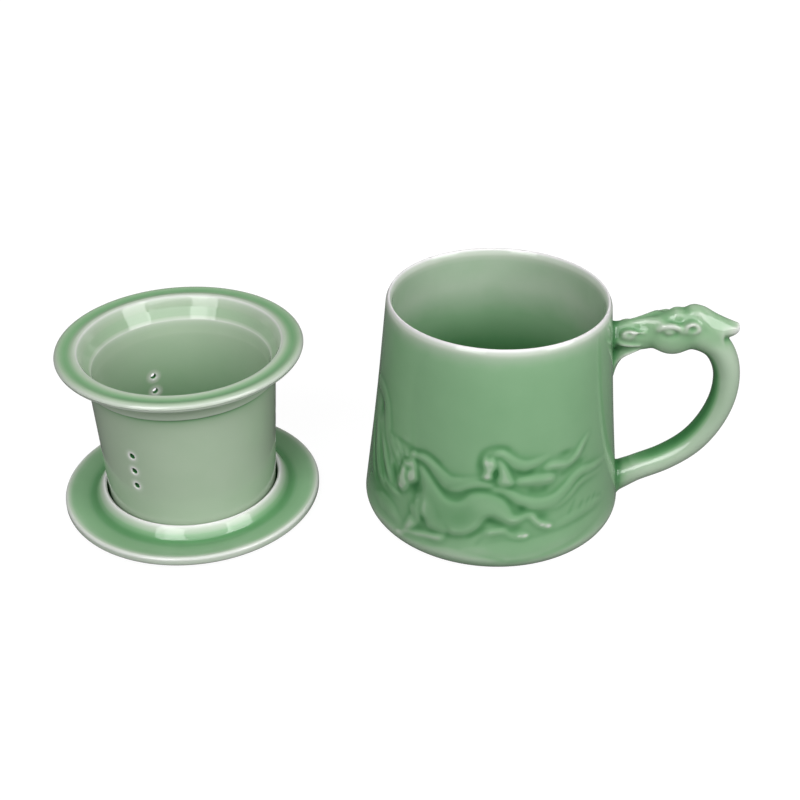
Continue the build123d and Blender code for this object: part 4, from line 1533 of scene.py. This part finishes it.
class Clump:
    """Clay modelled in the round: distances from its surface, held on a grid and mirrored about Y = 0.

    Attributes:
        far: distance given to cells that no form has reached.
    """
    far: float = 50.0

    def __init__(self, low: Place, high: Place, pitch: float) -> None:
        """Prepares an empty block.

        Args:
            low: lowest corner.
            high: highest corner.
            pitch: spacing of the grid.
        """
        self.low, self.pitch = np.array(low), pitch
        x, y, z = (np.arange(a, b, pitch, dtype=np.float32) for a, b in zip(low, high))
        self.x, self.y, self.z = x[:, None, None], np.abs(y)[None, :, None], z[None, None, :]
        self.distance = np.full((len(x), len(y), len(z)), self.far, np.float32)

    def block(self, points: np.ndarray, margin: float) -> tuple[slice, slice, slice]:
        """Slices of the grid round some points, over its whole width."""
        (x0, _, z0), (x1, _, z1) = points.min(axis=0) - margin, points.max(axis=0) + margin
        return (slice(*np.searchsorted(self.x[:, 0, 0], (x0, x1))), slice(None),
                slice(*np.searchsorted(self.z[0, 0], (z0, z1))))

    def blend(self, where: tuple[slice, slice, slice], form: np.ndarray, blend: float, cut: bool) -> None:
        """Joins a form to the clay, or cuts it away, with a rounded join."""
        here = self.distance[where]
        self.distance[where] = -smooth_min(-here, form, blend) if cut else smooth_min(here, form, blend)

    def oval(self, centre: Place, size: Place, blend: float = 1.0, tilt: float = 0.0,
             cut: bool = False) -> None:
        """Adds or cuts an egg-shaped form on both sides.

        Args:
            centre: its centre on the +Y side.
            size: its half axes.
            blend: how widely it melts into the clay.
            tilt: degrees by which its length rises towards +X.
            cut: whether it is cut away.
        """
        middle = np.array(centre)
        where = self.block(np.stack([middle, middle]), max(size) + 6)
        x, y, z = self.x[where[0]] - centre[0], self.y - centre[1], self.z[:, :, where[2]] - centre[2]
        cosine, sine = math.cos(math.radians(tilt)), math.sin(math.radians(tilt))
        u, w = (x * cosine + z * sine) / size[0], (z * cosine - x * sine) / size[2]
        v = y / size[1]
        near = np.sqrt(u * u + v * v + w * w)
        slope = np.sqrt((u / size[0]) ** 2 + (v / size[1]) ** 2 + (w / size[2]) ** 2)
        self.blend(where, (near * (near - 1) / np.maximum(slope, 1e-4)).astype(np.float32), blend, cut)

    def coil(self, line: Sequence[Place], radii: Sequence[float], blend: float = 0.8,
             cut: bool = False) -> None:
        """Adds or cuts a coil of clay along a smooth line on both sides.

        Args:
            line: points of its middle line on the +Y side.
            radii: its radius from start to end.
            blend: how widely it melts into the clay.
            cut: whether it is cut away.
        """
        path = smooth_path(line, steps=4)
        where = self.block(path, max(radii) + 6)
        x, y, z = self.x[where[0]], self.y, self.z[:, :, where[2]]
        radius = np.interp(np.linspace(0, 1, len(path)), np.linspace(0, 1, len(radii)), radii)
        form = np.full(np.broadcast_shapes(x.shape, y.shape, z.shape), self.far, np.float32)
        for start, end, thick, thin in zip(path, path[1:], radius, radius[1:]):
            way = end - start
            off = x - start[0], y - start[1], z - start[2]
            t = np.clip(sum(o * w for o, w in zip(off, way)) / (way @ way), 0, 1)
            gap = np.sqrt(sum((o - t * w) ** 2 for o, w in zip(off, way))) - thick - t * (thin - thick)
            form = np.minimum(form, gap)
        self.blend(where, form.astype(np.float32), blend, cut)

    def loft(self, stations: Sequence[tuple[float, float, float, float]], blend: float) -> None:
        """Adds a form of oval sections along X.

        Args:
            stations: X, middle height, half height and half width of each section.
            blend: how widely it melts into the clay.
        """
        path = smooth_path(stations)
        x = self.x[:, 0, 0]
        middle, half_height, half_width = (np.interp(x, path[:, 0], values)[:, None, None]
                                           for values in path.T[1:])
        near = np.sqrt((self.y / half_width) ** 2 + ((self.z - middle) / half_height) ** 2)
        form = (near - 1) * np.minimum(half_height, half_width)
        beyond = np.maximum(path[0, 0] - self.x, self.x - path[-1, 0])
        self.blend((slice(None),) * 3, np.maximum(form, beyond).astype(np.float32), blend, False)

    def bar(self, line: Sequence[Point], sizes: Sequence[Point], blend: float) -> None:
        """Adds an oval bar along a smooth line in the Y = 0 plane.

        Args:
            line: points of its middle line, as X and Z.
            sizes: half thickness and half width, from start to end.
            blend: how widely it melts into the clay.
        """
        path = smooth_path(line)
        cells = np.stack(np.broadcast_arrays(self.x[:, 0], self.z[0]), axis=-1).astype(float)
        away, along, _ = Relief.measure(cells, path)
        share = np.linspace(0, 1, len(sizes))
        thick, wide = (np.interp(along, share, [size[i] for size in sizes])[:, None, :] for i in (0, 1))
        near = np.sqrt((away[:, None, :] / thick) ** 2 + (self.y / wide) ** 2)
        form = (near - 1) * np.minimum(thick, wide)
        self.blend((slice(None),) * 3, form.astype(np.float32), blend, False)

    def read(self, grid: np.ndarray, points: np.ndarray) -> np.ndarray:
        """Reads one of the clump's grids at points in millimetres."""
        return sampled(grid, (points - self.low) / self.pitch)

    def surface(self, distance: np.ndarray) -> tuple[np.ndarray, np.ndarray]:
        """Skins a grid of distances with quads, and draws their points onto the exact surface.

        Args:
            distance: the grid.
        Returns:
            The points in millimetres and the quads.
        """
        grid = openvdb.FloatGrid(self.far)
        grid.copyFromArray(distance)
        cells, quads = grid.convertToQuads(isovalue=0.0)
        cells = cells.astype(float)
        slopes = np.gradient(distance)
        for _ in range(2):
            slope = np.stack([sampled(part, cells) for part in slopes], axis=1)
            steep = np.maximum((slope ** 2).sum(axis=1), 1e-3)
            cells -= slope * (sampled(distance, cells) / steep)[:, None]
        return cells * self.pitch + self.low, quads


@dataclass
class HorseHandle:
    """Handle: an oval bar that rises from the base and becomes the neck of a horse that bites the rim wall.

    Attributes:
        finish: its glaze.
        wall: the mug's outer side, as radius and height.
        pitch: spacing of the grid that it is modelled on.
        contact: how deeply it is pressed into the wall.
        fillet: width of the rounded join with the wall.
        soften: reach over which every edge is softened.
        loop: the bar's middle line, as X and Z.
        seam, seam_slope: a place on the luted seam of loop and head, and the seam's slope in degrees.
        seam_depth: depth in metres of the hidden face behind the seam.
        opening: middle of the finger gap, as X and Z.
        inside_painted_shade, crown_painted_shade, head_painted_shade: extra glaze that paints shade on the
        side of the loop that faces its opening, along the crown and over the head.
    """
    finish: Glaze
    wall: np.ndarray
    pitch: float = 0.4
    contact: float = 0.25
    fillet: float = 2.2
    soften: float = 0.46
    loop: tuple[Point, ...] = ((45.5, 8.2), (56.0, 13.6), (67.5, 19.0), (77.0, 26.4), (83.5, 36.5),
                               (86.8, 48.0), (86.2, 59.5), (81.5, 68.6), (73.0, 74.0))
    seam: Point = (80.0, 69.4)
    seam_slope: float = 52.0
    seam_depth: float = 0.0006
    opening: Point = (62.0, 45.0)
    inside_painted_shade: float = 0.55
    crown_painted_shade: float = 0.14
    head_painted_shade: float = 0.05

    def model(self) -> Clump:
        """Models the whole handle.

        Returns:
            The clump, not yet joined to the wall.
        """
        clump = Clump((37.0, -13.0, -5.0), (99.0, 13.2, 91.0), self.pitch)
        even = (4.85, 5.6)
        clump.bar(self.loop,
                  ((6.2, 6.1), (4.9, 5.6), even, even, even, even, (4.9, 5.6), (5.2, 5.8), (5.4, 6.0)), 0.5)
        clump.loft([(40.5, 72.8, 4.2, 3.8), (43.6, 73.2, 4.8, 4.5), (46.5, 73.6, 4.9, 4.9),
                    (50.0, 74.1, 5.1, 4.4), (56.0, 74.4, 6.1, 4.7), (62.5, 74.4, 7.0, 5.7),
                    (69.0, 74.9, 7.0, 6.0), (76.0, 74.9, 6.7, 5.6), (82.5, 74.0, 5.2, 4.8)], 1.5)
        self.muzzle(clump)
        self.brow_and_ears(clump)
        self.mane(clump)
        return clump

    def muzzle(self, clump: Clump) -> None:
        """Models the nose, nostrils, closed lips and the chin that spreads down the wall.

        Args:
            clump: the clay.
        """
        clump.coil([(43.5, 1.6, 75.6), (48.5, 2.0, 76.9), (53.0, 2.5, 78.3), (58.5, 3.0, 79.3)],
                   (1.4, 1.7, 1.9, 2.2), 2.8)
        clump.oval((47.0, 20.9, 84.7), (20.0, 20.0, 20.0), 1.2, cut=True)
        clump.oval((47.6, 3.8, 75.2), (2.9, 1.6, 2.0), 1.6)
        clump.coil([(45.6, 4.5, 74.6), (46.2, 4.9, 76.1), (47.9, 5.2, 76.8), (50.0, 4.9, 76.5),
                    (53.4, 4.4, 76.2)], (0.5, 0.65, 0.7, 0.6, 0.4), 1.1)
        clump.oval((47.6, 5.6, 75.9), (1.2, 0.8, 0.7), 0.8, tilt=-20, cut=True)
        clump.coil([(43.8, 4.2, 73.4), (44.8, 4.6, 71.8), (48.0, 4.6, 70.9), (52.0, 4.3, 70.6)],
                   (0.5, 0.6, 0.6, 0.4), 1.1)
        clump.coil([(54.0, 0.0, 70.8), (50.0, 0.0, 69.6), (46.5, 0.0, 67.2), (44.0, 0.0, 63.6),
                    (42.6, 0.0, 58.0)], (3.0, 3.1, 2.9, 2.6, 1.8), 2.0)
        clump.coil([(52.0, 3.2, 68.2), (49.0, 3.3, 66.9), (46.0, 3.0, 64.9), (43.6, 2.6, 61.8)],
                   (0.5, 0.6, 0.6, 0.5), 1.0)

    def brow_and_ears(self, clump: Clump) -> None:
        """Models the cheeks, arched brows over the eyes, and curled ears.

        Args:
            clump: the clay.
        """
        clump.oval((64.2, 3.0, 72.2), (6.6, 2.9, 5.2), 2.4, tilt=-8)
        clump.oval((62.0, 6.9, 77.2), (3.2, 1.2, 1.7), 1.6, cut=True)
        clump.coil([(58.4, 4.7, 78.0), (60.2, 5.3, 79.2), (62.6, 5.6, 79.7), (65.0, 5.7, 79.0),
                    (66.8, 5.7, 77.5)], (0.7, 1.1, 1.2, 1.1, 0.7), 1.7)
        clump.oval((62.2, 5.3, 77.2), (2.0, 1.2, 1.3), 1.0)
        clump.oval((70.4, 4.6, 78.8), (3.4, 1.9, 2.7), 2.0)
        clump.coil([(68.2, 5.9, 77.6), (68.4, 6.3, 79.6), (70.2, 6.5, 80.5), (72.2, 6.4, 79.9),
                    (72.6, 6.1, 78.4), (71.0, 6.0, 77.3)], (0.6, 0.85, 0.95, 0.95, 0.85, 0.6), 1.0)
        clump.oval((70.3, 7.0, 78.9), (1.5, 1.1, 1.1), 0.9, cut=True)

    def mane(self, clump: Clump) -> None:
        """Models the forelock between the ears, and the mane swept back to a blunt tip.

        Args:
            clump: the clay.
        """
        clump.coil([(60.5, 0.0, 79.6), (65.2, 0.8, 81.6), (68.6, 1.4, 81.4)], (1.6, 2.5, 1.9), 2.0)
        clump.loft([(67.4, 81.6, 1.4, 2.2), (70.4, 81.9, 3.4, 3.6), (75.0, 80.4, 4.3, 5.0),
                    (80.0, 77.6, 4.2, 4.9), (84.0, 76.2, 3.6, 4.0), (87.0, 75.9, 2.8, 2.8),
                    (88.9, 76.4, 1.8, 1.6)], 1.2)
        clump.oval((87.2, 28.2, 94.8), (30.0, 30.0, 30.0), 1.4, cut=True)
        clump.coil([(74.0, 2.6, 85.4), (79.0, 3.8, 82.4), (84.0, 3.2, 80.0), (88.0, 1.6, 78.4)],
                   (0.5, 0.6, 0.6, 0.4), 1.4, cut=True)

    def join(self) -> None:
        """Models the handle, melts it into the mug's wall, and works out where glaze pools and where extra
        glaze paints shade.
        """
        self.clump = clump = self.model()
        away = np.sqrt(clump.x ** 2 + clump.y ** 2)
        wall = (away - np.interp(clump.z, self.wall[:, 1], self.wall[:, 0])).astype(np.float32)
        clump.distance = blurred(clump.distance, self.soften / clump.pitch)
        joined = smooth_min(clump.distance, wall, self.fillet)
        self.pooled = FIRING.thickness(joined, clump.pitch, sign=-1.0)
        # the handle's glaze: what pools in its hollows, plus extra glaze that paints shade
        self.glaze = self.pooled + self.painted_shade_glaze(joined)
        outside = np.maximum(joined, -wall - self.contact)
        self.skin = np.maximum(outside, clump.distance - self.fillet * 0.9).astype(np.float32)

    def painted_shade_glaze(self, distance: np.ndarray) -> np.ndarray:
        """Extra glaze that paints shade: darker green on the side of the loop that faces its opening, along
        the top of the head and over the head.

        Args:
            distance: distances from the joined surface.
        Returns:
            Extra thickness in millimetres, on the same grid.
        """
        clump = self.clump
        across, up = self.opening[0] - clump.x, self.opening[1] - clump.z
        slope_x, _, slope_z = np.gradient(distance, clump.pitch)
        facing = (slope_x * across + slope_z * up) / np.sqrt(across ** 2 + up ** 2 + 1)
        crown = smooth_step((slope_z - 0.35) / 0.5) * smooth_step((clump.z - 74.0) / 4.0)
        head = smooth_step((clump.z - 64.0) / 6.0) * smooth_step((75.0 - clump.x) / 6.0)
        # painted shade: darker green inside the loop, on the crown and over the head
        return (self.inside_painted_shade * smooth_step((facing - 0.55) / 0.45) + self.crown_painted_shade * crown
                + self.head_painted_shade * head)

    def pooled_beside(self, points: np.ndarray, thick: np.ndarray) -> np.ndarray:
        """Thickens the mug's glaze beside the handle.

        Args:
            points: the mug's points.
            thick: its glaze so far.
        Returns:
            The glaze with what pools at the join.
        """
        low = self.clump.low
        high = low + (np.array(self.glaze.shape) - 3) * self.pitch
        inside = np.all((points > low + 1) & (points < high), axis=1)
        wall = np.interp(points[:, 2], self.wall[:, 1], self.wall[:, 0])
        outer = inside & (np.hypot(points[:, 0], points[:, 1]) > wall - 0.5)
        extra = self.clump.read(self.pooled, points[outer]) - FIRING.laid
        result = thick.copy()
        result[outer] += np.maximum(extra, 0)
        return result

    def close(self, piece: bpy.types.Object) -> None:
        """Closes a piece where it meets the other, with a face sunk below its surface for a smooth seam.

        Args:
            piece: the piece.
        """
        shape = bmesh.new()
        shape.from_mesh(piece.data)
        shape.normal_update()
        rim = [edge for edge in shape.edges if edge.is_boundary]
        outward = {tuple(vert.co): vert.normal.copy() for edge in rim for vert in edge.verts}
        for edge in rim:
            edge.smooth = False
        lip = bmesh.ops.extrude_edge_only(shape, edges=rim)["geom"]
        for vert in lip:
            if isinstance(vert, bmesh.types.BMVert):
                vert.co -= outward[tuple(vert.co)] * self.seam_depth
        bmesh.ops.holes_fill(shape, edges=[edge for edge in shape.edges if edge.is_boundary], sides=0)
        bmesh.ops.recalc_face_normals(shape, faces=shape.faces)
        shape.to_mesh(piece.data)
        shape.free()

    def build(self) -> list[bpy.types.Object]:
        """Skins the handle and parts it into loop and head along the luted seam.

        Returns:
            The two pieces.
        """
        points, quads = self.clump.surface(self.skin)
        thick = self.clump.read(self.glaze, points)
        slope = math.radians(self.seam_slope)
        middles = points[quads].mean(axis=1)
        off = middles[:, [0, 2]] - self.seam
        on_head = off[:, 1] * math.sin(slope) > off[:, 0] * math.cos(slope)
        pieces = []
        material = self.finish.material()
        for name, node, chosen in (("handle_loop_glazed", "handle_loop", quads[~on_head]),
                                   ("horse_head_glazed", "horse_head", quads[on_head])):
            used, faces = np.unique(chosen, return_inverse=True)
            values = {"glaze": thick[used], "bare": np.zeros(len(used))}
            piece = make_piece(name, points[used], faces.reshape(-1, 4).tolist(), values)
            self.close(piece)
            piece.data.materials.append(material)
            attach(piece, "mug")
            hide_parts(node)
            pieces.append(piece)
        return pieces


# ---------------------------------------------------------------- studio

class Side(Enum):
    """Side of the pieces on which a softbox stands, with its azimuth and elevation in degrees."""
    LEFT = (-118.0, 31.0)
    RIGHT = (-31.0, 31.0)
    TOP = (-84.0, 47.0)
    BACK = (95.0, 24.0)


@dataclass(frozen=True)
class Softbox:
    """Rectangular studio lamp aimed at the pieces, in metres and watts.

    Attributes:
        aim: the point at which it is aimed.
    """
    side: Side
    width: float
    height: float
    power: float
    distance: float = 1.1
    aim: Place = (-0.04, 0.0, 0.05)

    def hang(self) -> None:
        """Adds the lamp to the scene."""
        azimuth, elevation = (math.radians(a) for a in self.side.value)
        lamp = bpy.data.lights.new(f"softbox_{self.side.name.lower()}", "AREA")
        lamp.shape, lamp.size, lamp.size_y, lamp.energy = "RECTANGLE", self.width, self.height, self.power
        holder = bpy.data.objects.new(lamp.name, lamp)
        flat = math.cos(elevation) * self.distance
        holder.location = (self.aim[0] + flat * math.cos(azimuth), self.aim[1] + flat * math.sin(azimuth),
                           self.aim[2] + self.distance * math.sin(elevation))
        holder.rotation_euler = Euler((math.pi / 2 - elevation, 0, azimuth + math.pi / 2))
        holder.visible_glossy = self.side is not Side.BACK
        bpy.context.scene.collection.objects.link(holder)


@dataclass(frozen=True)
class Studio:
    """White sweep, four softboxes and the camera, in metres, degrees and millimetres of lens.

    Attributes:
        fill_light, reflected: strength of the surround as light, and as glossy surfaces reflect it.
        paper_lit, paper_reflected: grey of the floor as it is lit, and as glossy surfaces reflect it.
        paper_glow: strength at which the floor shows to the camera, over its own light.
    """
    camera_place: Place = (-0.0358, -0.4199, 0.3057)
    camera_tilt: float = 58.14
    lens: float = 58.5
    sensor: float = 36.0
    floor_size: float = 6.0
    fill_light: float = 0.04
    reflected: float = 0.06
    paper_lit: float = 0.13
    paper_reflected: float = 0.16
    paper_glow: float = 0.93

    def build(self) -> None:
        """Sets up the camera, the lamps, the surround and the floor."""
        lens = bpy.data.cameras.new("camera")
        lens.lens, lens.sensor_width = self.lens, self.sensor
        camera = bpy.data.objects.new("camera", lens)
        camera.location = self.camera_place
        camera.rotation_euler = (math.radians(self.camera_tilt), 0, 0)
        bpy.context.scene.collection.objects.link(camera)
        bpy.context.scene.camera = camera
        bpy.context.scene.view_settings.view_transform = "Standard"
        for box in (Softbox(Side.LEFT, 0.54, 0.74, 5.95), Softbox(Side.RIGHT, 0.54, 0.74, 6.9),
                    Softbox(Side.TOP, 1.4, 0.8, 8.4), Softbox(Side.BACK, 1.2, 0.7, 8.0)):
            box.hang()
        self.surround()
        self.floor()

    def surround(self) -> None:
        """Surround that is white to the camera and a dim grey to everything else."""
        world = bpy.data.worlds.new("surround")
        bpy.context.scene.world = world
        world.use_nodes = True
        world.node_tree.nodes.clear()
        add = partial(add_node, world.node_tree)
        ray = add("ShaderNodeLightPath").outputs
        dim = add("ShaderNodeMapRange", {"Value": ray["Is Glossy Ray"], "To Min": self.fill_light,
                                         "To Max": self.reflected})
        level = add("ShaderNodeMath", {0: ray["Is Camera Ray"], 1: dim.outputs["Result"]},
                    operation="MAXIMUM")
        white = add("ShaderNodeBackground", {"Color": linear("#FFFFFF"), "Strength": level.outputs[0]})
        add("ShaderNodeOutputWorld", {"Surface": white.outputs["Background"]})

    def floor(self) -> None:
        """Floor that reads as white to the camera and keeps a soft contact shadow."""
        half = self.floor_size / 2
        mesh = bpy.data.meshes.new("floor")
        corners = [(-half, -half, 0), (half, -half, 0), (half, half, 0), (-half, half, 0)]
        mesh.from_pydata(corners, [], [(0, 1, 2, 3)])
        sweep = bpy.data.objects.new("floor", mesh)
        bpy.context.scene.collection.objects.link(sweep)
        paper = bpy.data.materials.new("white seamless paper")
        paper.use_nodes = True
        paper.node_tree.nodes.clear()
        add = partial(add_node, paper.node_tree)
        ray = add("ShaderNodeLightPath").outputs
        tone = add("ShaderNodeMapRange", {"Value": ray["Is Glossy Ray"], "To Min": self.paper_lit,
                                          "To Max": self.paper_reflected})
        lit = add("ShaderNodeBsdfDiffuse", {"Color": tone.outputs["Result"]})
        glow = add("ShaderNodeMath", {0: ray["Is Camera Ray"], 1: self.paper_glow}, operation="MULTIPLY")
        lifted = add("ShaderNodeEmission", {"Strength": glow.outputs[0]})
        both = add("ShaderNodeAddShader", {0: lit.outputs["BSDF"], 1: lifted.outputs["Emission"]})
        add("ShaderNodeOutputMaterial", {"Surface": both.outputs["Shader"]})
        mesh.materials.append(paper)


# ---------------------------------------------------------------- assembly

def main() -> None:
    """Builds every piece in order."""
    logging.basicConfig(level=logging.INFO, format="%(name)s: %(message)s")
    Studio().build()
    body = MugBody(Glaze("celadon glaze, mug"))
    outer = body.outline().points()
    outer = outer[:int(np.argmax(outer[:, 1])) + 1]
    handle_glaze = Glaze("celadon glaze, handle", thin="#B6C1B2", even="#8AAA88", shift=0.045)
    handle = HorseHandle(handle_glaze, outer[outer[:, 0] > body.foot_outer + 2])
    handle.join()
    pieces = handle.build()
    pieces.append(body.build(handle))
    infuser_glaze = Glaze("celadon glaze, infuser", even="#A1B49C", deep="#76A076")
    pieces.append(Infuser("infuser", "infuser", "infuser_glaze", infuser_glaze).turn())
    pieces.append(Lid("lid", "lid", "lid_glaze", Glaze("celadon glaze, lid", shift=0.02)).turn())
    for piece in pieces:
        piece.data.calc_loop_triangles()
        LOG.info("%s: %d points, %d triangles", piece.name, len(piece.data.vertices),
                 len(piece.data.loop_triangles))


if __name__ == "__main__":
    main()
